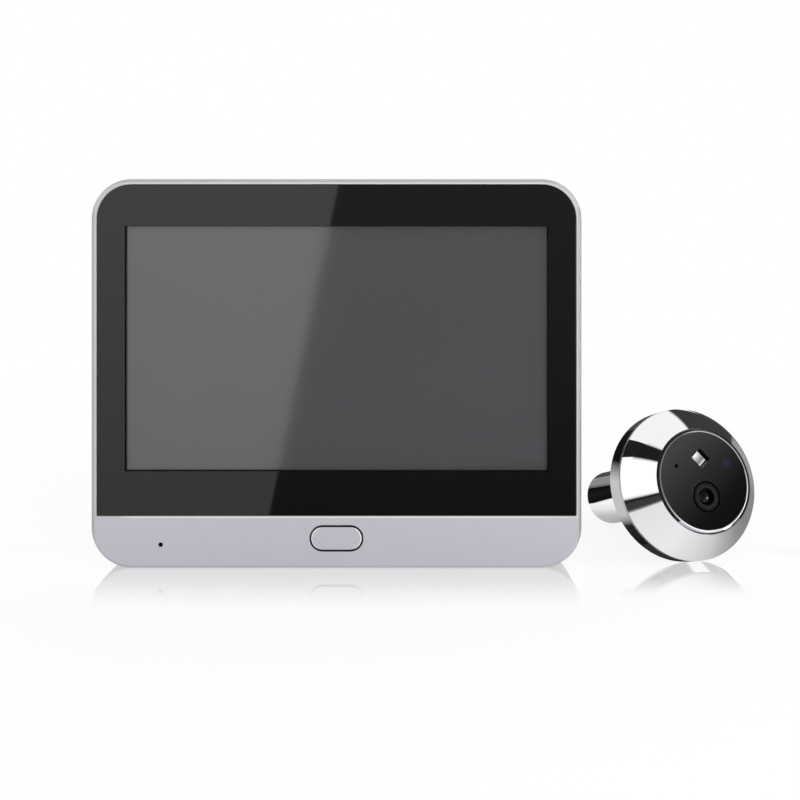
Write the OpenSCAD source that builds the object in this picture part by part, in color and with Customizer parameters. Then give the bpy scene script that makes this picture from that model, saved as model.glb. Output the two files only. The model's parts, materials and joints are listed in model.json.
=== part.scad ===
// Peephole door camera: an indoor monitor that stands on its lower edge, and the outdoor
// camera unit that lies beside it on its rim and the end of its barrel.
// Millimetres, +Z up, front towards -Y. The origin is the centre of the monitor's lower face.

/* [Screen and glass] */
// Width of the part of the display that shows
screen_w = 94.4; // [90:0.2:120]
// Height of the part of the display that shows
screen_h = 54.5; // [50:0.5:75]
// Black border of the glass at each side of the screen
border_side = 6.6; // [6:0.1:10]
// Black border above the screen
border_top = 9.5; // [8:0.1:14]
// Black border below the screen
border_bottom = 10.4; // [9:0.1:14]
// Thickness of the cover glass
glass_t = 1.1; // [0.7:0.1:2]
// Gap between the edge of the glass and the housing
glass_gap = 0.1; // [0.05:0.05:0.3]
// How far the glass lies below the front of the frame
glass_drop = 0.25; // [0.1:0.05:0.5]
// Thickness of the tape that holds the glass
tape_t = 0.15; // [0.1:0.05:0.4]

/* [Monitor housing] */
// Silver strip beside and above the glass
frame_w = 1.2; // [1:0.1:3]
// Height of the silver chin below the glass
chin_h = 11.6; // [11:0.2:18]
// Radius of the housing's corners
corner_r = 9; // [7:0.5:12]
// Thickness of the side walls
wall_t = 1.8; // [1.5:0.1:2.2]
// Thickness of the back wall
back_t = 1.8; // [1.6:0.1:2.6]
// Thickness of the ledge behind the glass
ledge_t = 1.2; // [1:0.1:2]
// Rounding of the front outer edge
front_edge_r = 0.8; // [0.4:0.1:1.1]
// Rounding of the back outer edge
back_edge_r = 3; // [2:0.25:3.5]
// Chamfer of the housing's edge round the glass
mouth_chamfer = 0.35; // [0.1:0.05:0.6]
// Height of the lip that locates the rear cover in the front housing
lip_h = 1.5; // [1:0.1:2.5]
// Gap between the lip and its rebate
lip_gap = 0.1; // [0.05:0.05:0.2]

// Distance between the catches along the top edge
catch_pitch = 32; // [24:1:38]
// Width of a catch
catch_w = 8; // [6:0.5:12]

/* [Display module] */
// Gap between the corners of the backlight tray and the housing
panel_gap = 0.4; // [0.2:0.1:1]
// Distance from the bottom of the glass to the panel
panel_inset_bottom = 4.6; // [3:0.1:6]
// Thickness of the liquid crystal cell
cell_t = 1.6; // [1.2:0.1:2.4]
// Thickness of the backlight tray's floor
tray_t = 1.3; // [0.8:0.1:2]
// Thickness of the foam gasket round the screen
gasket_t = 0.3; // [0.2:0.05:0.8]
// Width of the foam gasket
gasket_w = 2; // [1.2:0.1:2.6]
// How much wider the ledge's window is than the screen, at each edge
window_margin = 0.6; // [0.2:0.1:1]

/* [View button] */
// Length of the button's cap
button_l = 11.3; // [9:0.1:16]
// Height of the button's cap
button_h = 5.1; // [4:0.1:6]
// Gap between the cap and the chin
button_gap = 0.4; // [0.3:0.05:0.6]
// Height of the button's centre above the lower face
button_up = 6.65; // [6:0.05:7]
// How far the cap stands out of the chin
button_proud = 0.15; // [0:0.05:0.6]
// How far the button presses in
button_travel = 0.5; // [0.3:0.05:0.8]

/* [Microphone hole] */
// Distance of the hole from the left side
mic_side = 15.6; // [14.4:0.2:25]
// Height of the hole above the lower face
mic_up = 5.25; // [5:0.05:8]
// Diameter of the hole
mic_d = 1; // [0.6:0.1:1.6]

/* [Main board and battery] */
// Thickness of the main board
board_t = 1.2; // [0.8:0.1:1.6]
// Room between the main board and the display, for screw heads
board_air = 1.9; // [1.8:0.1:4]
// Thickness of the battery
battery_t = 4; // [3.5:0.1:8]
// Height of the battery
battery_h = 38; // [30:1:44]
// Thickness of the pad under the battery
pad_t = 0.2; // [0.1:0.05:0.6]

/* [Back of the monitor] */
// Distance between the bracket slots, across
bracket_pitch_x = 62; // [54:1:66]
// Distance between the bracket slots, up
bracket_pitch_y = 38; // [34:1:42]
// Height of the lower bracket slots above the lower face
bracket_up = 30; // [28:0.5:34]
// Length of a bracket slot
slot_l = 9; // [6:0.5:12]
// Width of a bracket slot
slot_w = 2.6; // [1.6:0.1:4]
// Depth of the recess for the bracket
recess_deep = 0.9; // [0.5:0.1:1]
// Width of the opening for the ribbon plug
ribbon_w = 26; // [22:0.5:32]
// Height of the opening for the ribbon plug
ribbon_h = 7; // [6:0.5:8]

/* [Speaker] */
// Distance of the loudspeaker from the right side
speaker_side = 21; // [19:0.5:28]
// Length of the loudspeaker
speaker_l = 20; // [16:0.5:24]
// Width of the loudspeaker
speaker_w = 12; // [10:0.5:13]
// Thickness of the loudspeaker
speaker_t = 3.4; // [2.5:0.1:4]
// Number of slots in the grille
grille_count = 6; // [3:1:8]

/* [Side ports] */
// Gap between the lower board screw, the charging port, the card slot and the power switch
port_air = 4; // [2:0.25:5.5]
// Travel of the power switch
switch_travel = 2; // [1.5:0.1:2.5]

/* [Camera head] */
// Radius of the head's rim
rim_r = 17.1; // [16:0.1:20]
// Width of the rim band
rim_w = 5.1; // [3.8:0.1:6]
// Height of the dome above the rim band
dome_h = 7; // [6.8:0.05:9]
// Bulge of the dome's side
dome_bulge = 0.55; // [0.2:0.05:1]
// Rounding of the rim's edges and of the barrel's end
rim_edge_r = 0.3; // [0.1:0.05:0.5]
// Wall of the head at the rim
head_wall = 1.8; // [1.4:0.1:2.2]

/* [Front window] */
// Radius of the black front window
window_r = 10.7; // [10.6:0.05:11.4]
// Thickness of the front window
window_t = 1.4; // [1:0.1:1.6]
// How far the window lies below the lip round it
window_drop = 0.15; // [0.05:0.05:0.4]
// Width of the bright lip round the window
lip_w = 0.55; // [0.3:0.05:0.8]
// Distance of the lens below the middle of the window
lens_down = 3.5; // [3.2:0.1:4]
// Radius of the round recess for the lens
lens_recess_r = 3.5; // [3.2:0.1:4]
// Distance of the lamp above the middle of the window
lamp_up = 4.9; // [4.6:0.1:5.2]
// Long side of the lamp's recess
lamp_l = 3.2; // [3:0.1:3.6]
// Short side of the lamp's recess
lamp_w = 2.85; // [2.4:0.05:3]
// Turn of the lamp's recess
lamp_turn = -50; // [-90:1:90]
// Distance of the microphone and the infrared lamp from the middle, sideways
side_out = 6.4; // [6:0.05:6.6]
// Distance of the microphone and the infrared lamp above the middle
side_up = 3.6; // [3.4:0.1:4.2]

/* [Barrel] */
// Outer radius of the barrel
barrel_r = 6.6; // [6:0.1:8]
// Wall of the barrel
barrel_wall = 1.3; // [1:0.1:2]
// Length of the barrel behind the rim
barrel_l = 33.8; // [25:0.1:60]

/* [Place of the camera unit] */
// Distance of the camera unit to the right of the monitor's middle
unit_x = 78.9; // [75:0.1:120]
// Distance of the camera unit behind the monitor's middle
unit_y = 2.1; // [-20:0.1:40]
// Turn of the camera unit to the right
unit_turn = 16.3; // [-40:0.1:40]

/* [Hidden] */
$fn = 64;

// Small overshoot of cuts, and the air left round pieces that are seated
over = 1;
fit_gap = 0.05;

// Outline of the monitor, from the screen outwards
glass_w = screen_w + 2 * border_side;
glass_h = screen_h + border_top + border_bottom;
glass_r = corner_r - frame_w;
monitor_w = glass_w + 2 * frame_w;
monitor_h = chin_h + glass_h + frame_w;

// The square corners of the backlight tray clear the round corners of the housing
pan_gap = 0.15;
pan_t = 0.3;
pan_rim_below = 0.4;
round_corner_inset = (corner_r - wall_t) * (1 - sqrt(1 / 2));
panel_inset = wall_t - frame_w + round_corner_inset + panel_gap + pan_gap + pan_t;
panel_w = glass_w - 2 * panel_inset;
panel_h = glass_h - panel_inset - panel_inset_bottom;
panel_up = chin_h + panel_inset_bottom;
screen_up = chin_h + border_bottom;

// Layers of the monitor, from the front face to the back face
battery_air = 1;
board_room = pad_t + battery_t + battery_air;
monitor_d = glass_drop + glass_t + tape_t + ledge_t + gasket_t + cell_t + tray_t
    + board_air + board_t + board_room + back_t;
front_z = monitor_d / 2;
glass_front = front_z - glass_drop;
glass_back = glass_front - glass_t;
ledge_front = glass_back - tape_t;
ledge_back = ledge_front - ledge_t;
cell_front = ledge_back - gasket_t;
tray_front = cell_front - cell_t;
tray_back = tray_front - tray_t;
board_front = tray_back - board_air;
board_back = board_front - board_t;
floor_z = board_back - board_room;
back_z = floor_z - back_t;
parting_air = 0.3;
parting = board_front + parting_air;
lip_t = wall_t / 2;
tape_inset = 0.3;

// Catches of the rear cover, which snap into pockets of the front housing
catch_t = 1;
catch_gap = 0.1;
catch_nose = 0.5;
catch_root = 3;
catch_step = 0.4;
catch_air = 0.7;
catch_nose_low = parting + lip_h + catch_step;
catch_top = ledge_back - catch_air;

// Fasteners of the monitor
case_boss_r = 3;
case_screw_out = 1.5;
case_screw_x = monitor_w / 2 - corner_r + case_screw_out;
case_screw_up = corner_r;
case_screw_r = 0.85;
case_head_r = 1.9;
case_head_h = 1.4;
case_head_deep = 3;
case_head_seat = back_z + case_head_deep;
case_screw_cover = 1;
case_screw_top = ledge_back - case_screw_cover;
shank_gap = 0.2;
head_gap = 0.2;
board_boss_r = 2.2;
board_screw_r = 0.75;
board_head_r = 1.6;
board_head_h = 1.1;
board_screw_l = 4.5;
board_screw_in = 8;
board_screw_spacing = 6.3;
board_screw_drop = 11.2;
board_screw_x = monitor_w / 2 - board_screw_in;
board_screw_low = case_screw_up + case_boss_r + board_screw_spacing + board_boss_r;
board_screw_high = monitor_h - board_screw_drop;
board_gap = 2.2;
board_gap_low = 1.4;
board_side = monitor_w / 2 - wall_t - board_gap;
board_low = wall_t + board_gap_low;
board_high = monitor_h - wall_t - board_gap;
board_notch_gap = 0.5;

// Recess for the bracket, opening for the ribbon, and the battery between the bracket slots
recess_side = 2;
recess_above = 6;
recess_below = 12;
recess_r = 3;
recess_w = bracket_pitch_x + slot_l + 2 * recess_side;
recess_h = recess_below + bracket_pitch_y + recess_above;
recess_low = bracket_up - recess_below;
ribbon_below = 4;
ribbon_r = 1;
ribbon_up = bracket_up - ribbon_below;
battery_side_gap = 2.5;
battery_low_gap = 4.5;
battery_r = 2;
battery_edge = 1.2;
battery_w = bracket_pitch_x - slot_l - 2 * battery_side_gap;
battery_low = ribbon_up + ribbon_h / 2 + battery_low_gap;
pad_inset = 3;

// Chips on the back of the main board
chip_gap = 3.5;
chip_t = 1;
processor_w = 12;
processor_side = 34;
memory_w = 8;
driver_w = 7;
charger_w = 6;
chip_row = board_low + board_gap + processor_w / 2;

// Ribbon socket of the monitor
socket_side_gap = 2;
socket_up_gap = 1.1;
socket_t = 2.2;
socket_wall = 1.5;
socket_mouth_h = 1.6;
socket_mouth_deep = 1.2;

// Button and its switch
button_flange = 0.8;
button_flange_t = 0.8;
button_back = ledge_back - fit_gap - button_flange_t;
plunger_r = 1.7;
plunger_gap = 0.08;
button_switch_w = 6;
button_switch_air = 0.25;
button_switch_top = button_back - button_travel - button_switch_air;
button_edge_r = 0.3;
plunger_sunk = 0.7;
plunger_air = 0.2;

// Loudspeaker and microphone
speaker_air = 1.7;
speaker_x = monitor_w / 2 - speaker_side - speaker_l / 2;
speaker_up = wall_t + speaker_air + speaker_w / 2;
speaker_gasket_t = 0.5;
speaker_rim = 1.2;
speaker_frame_t = 2;
speaker_magnet_in = 2.5;
grille_slot_w = 1;
grille_margin = 2;
mic_out = monitor_w / 2 - mic_side;
mic_lip = 0.2;
mic_capsule_r = 2;
mic_capsule_t = 1.4;
mic_boot_r = 2.7;
mic_boot_t = 2.6;
mic_ring_t = 0.9;
mic_capsule_back = ledge_back - mic_boot_t + mic_lip;

// Side ports, measured inwards from the left wall
left_x = -monitor_w / 2;
usb_w = 8;
usb_h = 2.8;
usb_deep = 6.2;
usb_shell = 0.35;
usb_inset = 0.6;
usb_back_t = 1;
usb_tongue_l = 5;
usb_tongue_t = 0.6;
usb_tongue_inset = 0.8;
card_w = 14.5;
card_deep = 14;
card_h = 1.7;
card_mouth_w = 11.4;
card_mouth_h = 0.9;
card_back_t = 1;
switch_body_l = 8;
switch_body_w = 3.6;
switch_body_h = 3;
switch_gap = 0.15;
knob_l = 2.4;
knob_h = 1.4;
knob_sunk = 1.4;
knob_top = 0.25;
knob_groove = 0.3;
knob_groove_pitch = 1;
thumb_deep = 0.9;
thumb_margin_l = 1;
thumb_margin_w = 0.3;
port_wall_gap = 0.3;
usb_room = 0.3;
card_room = 0.4;
usb_up = board_screw_low + board_boss_r + port_air + usb_w / 2;
card_up = usb_up + usb_w / 2 + port_air + card_w / 2;
switch_up = card_up + card_w / 2 + port_air + switch_body_l / 2;

// Camera unit, measured along its axis from the back of the rim
head_front = rim_w + dome_h;
lip_r = window_r + lip_w;
window_front = head_front - window_drop;
window_back = window_front - window_t;
window_gap = 0.05;
seat_w = 1.1;
seat_t = 1.2;
seat_back = window_back - seat_t;
head_inner_r = rim_r - head_wall;
cone_out = 1.25;
cone_r = window_r + cone_out;
camera_board_t = 1;
camera_board_air = 0.3;
camera_board_gap = 0.6;
camera_board_front = seat_back - camera_board_air;
camera_board_back = camera_board_front - camera_board_t;
camera_board_r = cone_r - camera_board_gap;
bore_r = barrel_r - barrel_wall;
spigot_step = 0.5;
spigot_r = barrel_r - spigot_step;
flange_back = 0.8;
flange_t = 1.6;
flange_front = flange_back + flange_t;
flange_gap = 0.1;
flange_screw_in = 2.2;
flange_screw_pcr = head_inner_r - flange_screw_in;
flange_boss_r = 1.7;
flange_boss_air = 0.4;
flange_screw_r = 0.7;
flange_head_r = 1.3;
flange_head_h = 0.8;
flange_screw_l = 2.6;
flange_head_seat = flange_back + flange_head_h;
flange_angles = [30, 150, 270];
post_r = 1.5;
post_in = 2.35;
post_pcr = window_r - post_in;
post_angles = [90, 200, 340];
camera_screw_r = 0.6;
camera_head_r = 1.1;
camera_head_h = 0.8;
camera_screw_l = 3;
gasket_proud = 0.4;
gasket_in_gap = 1.6;
gasket_out_gap = 0.3;
gasket_ring_t = flange_back + gasket_proud;
gasket_ring_in = barrel_r + gasket_in_gap;
gasket_ring_out = head_inner_r - gasket_out_gap;
lens_gap = 0.3;
lens_sunk = 0.65;
lens_seat_deep = 1.4;
lens_seat_w = 0.4;
lens_barrel_r = lens_recess_r - lens_gap;
lens_barrel_top = window_front - lens_sunk;
lens_mouth_r = 1.9;
lens_glass_r = 1.5;
lens_glass_rise = 0.6;
lens_glass_t = 0.5;
lens_seat = lens_barrel_top - lens_seat_deep;
sensor_w = 3.6;
sensor_t = 0.5;
sensor_air = 0.3;
sensor_gap = 0.1;
lamp_gap = 0.15;
lamp_sunk = 1.1;
lamp_top = window_front - lamp_sunk;
infrared_r = 1.15;
infrared_foot = 0.3;
infrared_foot_t = 0.6;
infrared_gap = 0.2;
infrared_cover = 0.6;
camera_mic_r = 2;
camera_mic_air = 0.1;
camera_mic_hole_r = 0.45;
camera_socket_l = 7;
camera_socket_w = 3;
camera_socket_t = 1.4;

// The unit rests on the rim's rear edge and on the barrel's end, so its tilt follows from their
// radii and the barrel's length
rest_tilt = atan2(rim_r - barrel_r, barrel_l);
unit_z = (rim_r - rim_edge_r) * cos(rest_tilt) - rim_edge_r * sin(rest_tilt) + rim_edge_r;

// Rectangle with rounded corners, centred across, standing on the first axis
module rounded_rect(w, h, r) {
    translate([-w / 2 + r, 0]) square([w - 2 * r, h]);
    translate([-w / 2, r]) square([w, h - 2 * r]);
    for (x = [-w / 2 + r, w / 2 - r], y = [r, h - r]) translate([x, y]) circle(r);
}

// Oblong with round ends, centred
module oblong(l, w) {
    square([l - w, w], center = true);
    for (x = [-1, 1]) translate([x * (l - w) / 2, 0]) circle(d = w);
}

// Rectangle of width w, centred across, between two heights
module beam(w, y0, y1) {
    translate([-w / 2, y0]) square([w, y1 - y0]);
}

// Straight layer of a flat outline, from z0 to z1
module layer(z0, z1) {
    translate([0, 0, z0]) linear_extrude(z1 - z0) children();
}

// What a rounding of radius e takes off a section's corner at [u, v], outwards along su and sv
module corner_cut(u, v, e, su, sv) {
    translate([u - su * e, v - sv * e])
        difference() {
            translate([min(su, 0) * 2 * e, min(sv, 0) * 2 * e]) square(2 * e);
            circle(e);
        }
}

// Section of a slab with rounded front and back edges
module slab_section(w, z0, z1, front_r, back_r) {
    difference() {
        translate([-w / 2, z0]) square([w, z1 - z0]);
        for (s = [-1, 1]) {
            if (front_r > 0) corner_cut(s * w / 2, z1, front_r, s, 1);
            if (back_r > 0) corner_cut(s * w / 2, z0, back_r, s, -1);
        }
    }
}

// Slab with rounded corners and rounded edges, swept round its outline
module slab(w, h, r, z0, z1, front_r, back_r) {
    if (h > 2 * r)
        translate([0, h - r, 0]) rotate([90, 0, 0]) linear_extrude(h - 2 * r)
            slab_section(w, z0, z1, front_r, back_r);
    if (w > 2 * r)
        translate([r - w / 2, h / 2, 0]) rotate([90, 0, 90]) linear_extrude(w - 2 * r)
            slab_section(h, z0, z1, front_r, back_r);
    for (i = [0:3])
        translate([(i == 0 || i == 3 ? 1 : -1) * (w / 2 - r), i < 2 ? h - r : r, 0])
            rotate([0, 0, 90 * i]) rotate_extrude(angle = 90)
                intersection() {
                    slab_section(2 * r, z0, z1, front_r, back_r);
                    translate([0, z0]) square([r, z1 - z0]);
                }
}

// The housing's outline, taken in by inset
module housing_outline(inset) {
    translate([0, inset])
        rounded_rect(monitor_w - 2 * inset, monitor_h - 2 * inset, corner_r - inset);
}

// The glass's outline: round at the top, square where it meets the chin
module glass_outline(inset) {
    w = glass_w - 2 * inset;
    top = chin_h + glass_h - inset;
    r = glass_r - inset;
    translate([-w / 2, chin_h + inset]) square([w, top - r - chin_h - inset]);
    translate([-w / 2 + r, chin_h + inset]) square([w - 2 * r, top - chin_h - inset]);
    for (s = [-1, 1]) translate([s * (w / 2 - r), top - r]) circle(r);
}

// The screen's outline, let out by grow
module screen_outline(grow) {
    translate([-screen_w / 2 - grow, screen_up - grow])
        square([screen_w + 2 * grow, screen_h + 2 * grow]);
}

// The panel's outline, let out by grow
module panel_outline(grow) {
    translate([-panel_w / 2 - grow, panel_up - grow])
        square([panel_w + 2 * grow, panel_h + 2 * grow]);
}

// Places of the fasteners and of the bracket slots
module case_screw_places() {
    for (s = [-1, 1]) translate([s * case_screw_x, case_screw_up]) children();
}

module board_screw_places() {
    for (s = [-1, 1], y = [board_screw_low, board_screw_high])
        translate([s * board_screw_x, y]) children();
}

module catch_places() {
    for (i = [-1:1]) translate([i * catch_pitch, monitor_h - wall_t]) children();
}

module bracket_slot_places() {
    for (s = [-1, 1], y = [0, bracket_pitch_y])
        translate([s * bracket_pitch_x / 2, bracket_up + y]) children();
}

module around(angles, pcr) {
    for (a = angles) rotate([0, 0, a]) translate([pcr, 0, 0]) children();
}

// Screw with a cross recess: its head's underside is at z = 0 and its shank runs downwards
module screw(head_r, head_h, shank_r, length) {
    cross_l = 1.2 * head_r;
    cross_w = 0.28 * head_r;
    difference() {
        union() {
            cylinder(r = head_r, h = head_h);
            translate([0, 0, -length]) cylinder(r = shank_r, h = length);
        }
        for (turn = [0, 90])
            rotate([0, 0, turn]) translate([-cross_l / 2, -cross_w / 2, head_h / 2])
                cube([cross_l, cross_w, head_h]);
    }
}

// The monitor is drawn lying on its back and then stood up
module stand_up() {
    rotate([90, 0, 0]) children();
}

// The camera unit is drawn along its own axis, tilted to its rest and turned to the right
module lay_down() {
    translate([unit_x, unit_y, unit_z])
        rotate([0, 0, unit_turn]) rotate([-rest_tilt, 0, 0]) rotate([90, 0, 0]) children();
}

// Flared mouth of the glass's pocket, which leaves a bright chamfer all round the glass
module pocket_mouth() {
    low = front_z - mouth_chamfer;
    high = front_z + over;
    flare = high - low;
    side = glass_w / 2;
    top = chin_h + glass_h;
    bend = top - glass_r;
    intersection() {
        translate([0, bend, 0]) rotate([90, 0, 0]) linear_extrude(bend - chin_h + flare)
            polygon([[-side, low], [side, low], [side + flare, high], [-side - flare, high]]);
        translate([-side - flare, 0, 0]) rotate([90, 0, 90]) linear_extrude(2 * (side + flare))
            polygon([[bend, low], [chin_h, low], [chin_h - flare, high], [bend, high]]);
    }
    translate([glass_r - side, 0, 0]) rotate([90, 0, 90]) linear_extrude(2 * (side - glass_r))
        polygon([[chin_h, low], [top, low], [top + flare, high], [chin_h, high]]);
    for (i = [0, 1])
        translate([(1 - 2 * i) * (side - glass_r), bend, 0]) rotate([0, 0, 90 * i])
            rotate_extrude(angle = 90)
                polygon([[0, low], [glass_r, low], [glass_r + flare, high], [0, high]]);
}

// Front housing: frame, chin and side walls
module front_housing() {
    color("silver") stand_up() difference() {
        union() {
            difference() {
                slab(monitor_w, monitor_h, corner_r, parting, front_z, front_edge_r, 0);
                layer(parting - over, ledge_back) housing_outline(wall_t);
            }
            layer(parting, ledge_back + fit_gap) case_screw_places() circle(case_boss_r);
            translate([-mic_out, mic_up, 0])
                layer(ledge_back - mic_boot_t, ledge_back + fit_gap)
                    circle(mic_boot_r + fit_gap + mic_ring_t);
        }
        layer(parting - over, parting + lip_h) difference() {
            housing_outline(wall_t - lip_t);
            case_screw_places() circle(case_boss_r);
        }
        layer(ledge_front, front_z + over) glass_outline(0);
        layer(ledge_back - over, front_z) screen_outline(window_margin);
        pocket_mouth();
        translate([0, button_up, 0]) layer(parting - over, front_z + over)
            oblong(button_l + 2 * button_gap, button_h + 2 * button_gap);
        translate([-mic_out, mic_up, 0]) {
            layer(ledge_back - over, front_z + over) circle(d = mic_d);
            layer(parting - over, ledge_back) circle(mic_boot_r + fit_gap);
        }
        layer(parting - over, case_screw_top + fit_gap) case_screw_places()
            circle(case_screw_r + fit_gap);
        layer(catch_nose_low - catch_gap, catch_top + catch_gap) catch_places()
            beam(catch_w + 2 * catch_gap, -over, catch_nose + catch_gap);
    }
}

// Rear cover: shell with a lip, bosses, bracket slots, grille and side ports
module rear_cover() {
    color("silver") stand_up() difference() {
        union() {
            difference() {
                slab(monitor_w, monitor_h, corner_r, back_z, parting, 0, back_edge_r);
                layer(floor_z, parting + over) housing_outline(wall_t);
            }
            layer(parting - lip_t, parting + lip_h - lip_gap) difference() {
                housing_outline(wall_t - lip_t + lip_gap);
                housing_outline(wall_t);
            }
            layer(floor_z - fit_gap, parting) case_screw_places() circle(case_boss_r);
            layer(floor_z - fit_gap, board_back) board_screw_places() circle(board_boss_r);
            catches();
        }
        layer(back_z - over, parting + over) case_screw_places() circle(case_screw_r + shank_gap);
        layer(back_z - over, case_head_seat) case_screw_places() circle(case_head_r + head_gap);
        layer(board_front - board_screw_l - fit_gap, board_back + over) board_screw_places()
            circle(board_screw_r + fit_gap);
        layer(back_z - over, back_z + recess_deep)
            translate([0, recess_low]) rounded_rect(recess_w, recess_h, recess_r);
        layer(back_z, floor_z + over) bracket_slot_places() oblong(slot_l, slot_w);
        layer(back_z, floor_z + over)
            translate([0, ribbon_up - ribbon_h / 2]) rounded_rect(ribbon_w, ribbon_h, ribbon_r);
        layer(back_z - over, floor_z + over) grille_slots();
        side_openings();
    }
}

// Catches along the top edge: root on the wall, stem, and nose that points outwards
module catches() {
    stem_out = -catch_gap;
    stem_in = stem_out - catch_t;
    layer(parting - catch_root, parting + lip_h - lip_gap) catch_places()
        beam(catch_w, stem_in, fit_gap);
    layer(parting - catch_root, catch_top) catch_places() beam(catch_w, stem_in, stem_out);
    layer(catch_nose_low, catch_top) catch_places() beam(catch_w, stem_in, catch_nose);
}

// Slots of the loudspeaker's grille, in the back wall
module grille_slots() {
    pitch = (speaker_l - 2 * grille_margin) / (grille_count - 1);
    for (i = [0:grille_count - 1])
        translate([speaker_x + (i - (grille_count - 1) / 2) * pitch, speaker_up])
            rotate(90) oblong(speaker_w - 2 * grille_margin, grille_slot_w);
}

// Openings in the left wall for the charging port, the card and the power switch
module side_openings() {
    into_left(usb_up, board_back - usb_h / 2, wall_t + over)
        oblong(usb_w + 2 * usb_room, usb_h + 2 * usb_room);
    into_left(card_up, board_back - card_h / 2, wall_t + over)
        oblong(card_mouth_w + 2 * card_room, card_mouth_h + 2 * card_room);
    into_left(switch_up, board_back - switch_body_h / 2, thumb_deep)
        oblong(switch_body_l + 2 * thumb_margin_l, switch_body_h + 2 * thumb_margin_w);
    into_left(switch_up, board_back - switch_body_h / 2, wall_t + over) knob_slot();
}

// Slot in which the power switch's knob travels
module knob_slot() {
    square([knob_l + switch_travel + 2 * switch_gap, knob_h + 2 * switch_gap], center = true);
}

// Cut of a flat outline into the left wall: its first axis runs up and its second to the front
module into_left(up, z, deep) {
    translate([left_x - over, up, z]) rotate([90, 0, 90]) linear_extrude(deep + over) children();
}

// Cover glass
module cover_glass() {
    color("#26282a") stand_up() layer(glass_back, glass_front) glass_outline(glass_gap);
}

// Tape frame behind the edge of the glass
module glass_tape() {
    color("dimgray") stand_up() layer(ledge_front, glass_back) difference() {
        glass_outline(glass_gap + tape_inset);
        screen_outline(window_margin + tape_inset);
    }
}

// Foam gasket between the ledge and the display
module display_gasket() {
    color("#303030") stand_up() layer(cell_front, ledge_back) difference() {
        screen_outline(window_margin + gasket_w);
        screen_outline(window_margin);
    }
}

// Liquid crystal cell
module display_cell() {
    color("#6a6a6e") stand_up() layer(tray_front, cell_front) panel_outline(0);
}

// Backlight tray: a shallow pan round the cell
module backlight_tray() {
    color("gainsboro") stand_up() difference() {
        layer(tray_back, cell_front - pan_rim_below) panel_outline(pan_gap + pan_t);
        layer(tray_front, cell_front) panel_outline(pan_gap);
    }
}

// View button: cap, and the flange that keeps it behind the chin
module view_button() {
    cap_front = front_z + button_proud;
    grow = 2 * (button_gap + button_flange);
    color("silver") stand_up() translate([0, button_up, 0]) {
        translate([0, -button_h / 2, 0])
            slab(button_l, button_h, button_h / 2, button_back, cap_front, button_edge_r, 0);
        layer(button_back, button_back + button_flange_t) oblong(button_l + grow, button_h + grow);
    }
}

// Plunger of the button's switch
module switch_plunger() {
    color("#202020") stand_up() translate([0, button_up, 0])
        layer(button_switch_top - plunger_sunk, button_back) circle(plunger_r);
}

// Switch under the button, with a well for the plunger
module button_switch() {
    well = plunger_sunk + button_travel + plunger_air;
    color("dimgray") stand_up() translate([0, button_up, 0]) difference() {
        layer(board_front, button_switch_top) square(button_switch_w, center = true);
        layer(button_switch_top - well, button_switch_top + over) circle(plunger_r + plunger_gap);
    }
}

// Main board, notched round the case bosses
module main_board() {
    notch_side = case_screw_x - case_boss_r - board_notch_gap;
    notch_top = case_screw_up + case_boss_r + board_notch_gap;
    color("darkgreen") stand_up() layer(board_back, board_front) difference() {
        union() {
            translate([-board_side, notch_top]) square([2 * board_side, board_high - notch_top]);
            translate([-notch_side, board_low]) square([2 * notch_side, board_high - board_low]);
        }
        board_screw_places() circle(board_screw_r + shank_gap);
    }
}

// Square chip on the back of the main board
module chip(x, up, w) {
    layer(board_back - chip_t, board_back) translate([x, up]) square(w, center = true);
}

// Chips: a row below the ribbon socket, and two on the right of the battery
module board_chips() {
    processor_x = processor_side - board_side;
    beside = (processor_w + memory_w) / 2 + chip_gap;
    after = (processor_w + driver_w) / 2 + chip_gap;
    battery_side = (battery_w / 2 + board_side) / 2;
    color("#1c1c1e") stand_up() {
        chip(processor_x, chip_row, processor_w);
        chip(processor_x - beside, chip_row, memory_w);
        chip(processor_x + after, chip_row, driver_w);
        chip(battery_side, battery_low + charger_w, charger_w);
        chip(battery_side, battery_low + battery_h - driver_w, driver_w);
    }
}

// Socket for the ribbon from the camera unit, behind the opening in the rear cover
module ribbon_socket() {
    w = ribbon_w - 2 * socket_side_gap;
    h = ribbon_h - 2 * socket_up_gap;
    color("ivory") stand_up() translate([0, ribbon_up, 0]) difference() {
        layer(board_back - socket_t, board_back) square([w, h], center = true);
        layer(board_back - socket_t - over, board_back - socket_t + socket_mouth_deep)
            square([w - 2 * socket_wall, socket_mouth_h], center = true);
    }
}

// Charging port: shell and tongue
module usb_port() {
    color("lightgray") stand_up() translate([left_x + usb_inset, usb_up, board_back - usb_h / 2])
        rotate([90, 0, 90]) {
            difference() {
                linear_extrude(usb_deep) oblong(usb_w, usb_h);
                translate([0, 0, -over]) linear_extrude(usb_deep - usb_back_t + over)
                    oblong(usb_w - 2 * usb_shell, usb_h - 2 * usb_shell);
            }
            translate([0, 0, usb_tongue_inset]) linear_extrude(usb_deep - usb_tongue_inset)
                square([usb_tongue_l, usb_tongue_t], center = true);
        }
}

// Card slot: a flat cage open towards the left wall
module card_slot() {
    color("lightgray") stand_up()
        translate([left_x + wall_t + port_wall_gap, card_up, board_back - card_h / 2]) rotate([90, 0, 90])
            difference() {
                linear_extrude(card_deep) square([card_w, card_h], center = true);
                translate([0, 0, -over]) linear_extrude(card_deep - card_back_t + over)
                    square([card_mouth_w, card_mouth_h], center = true);
            }
}

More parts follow.
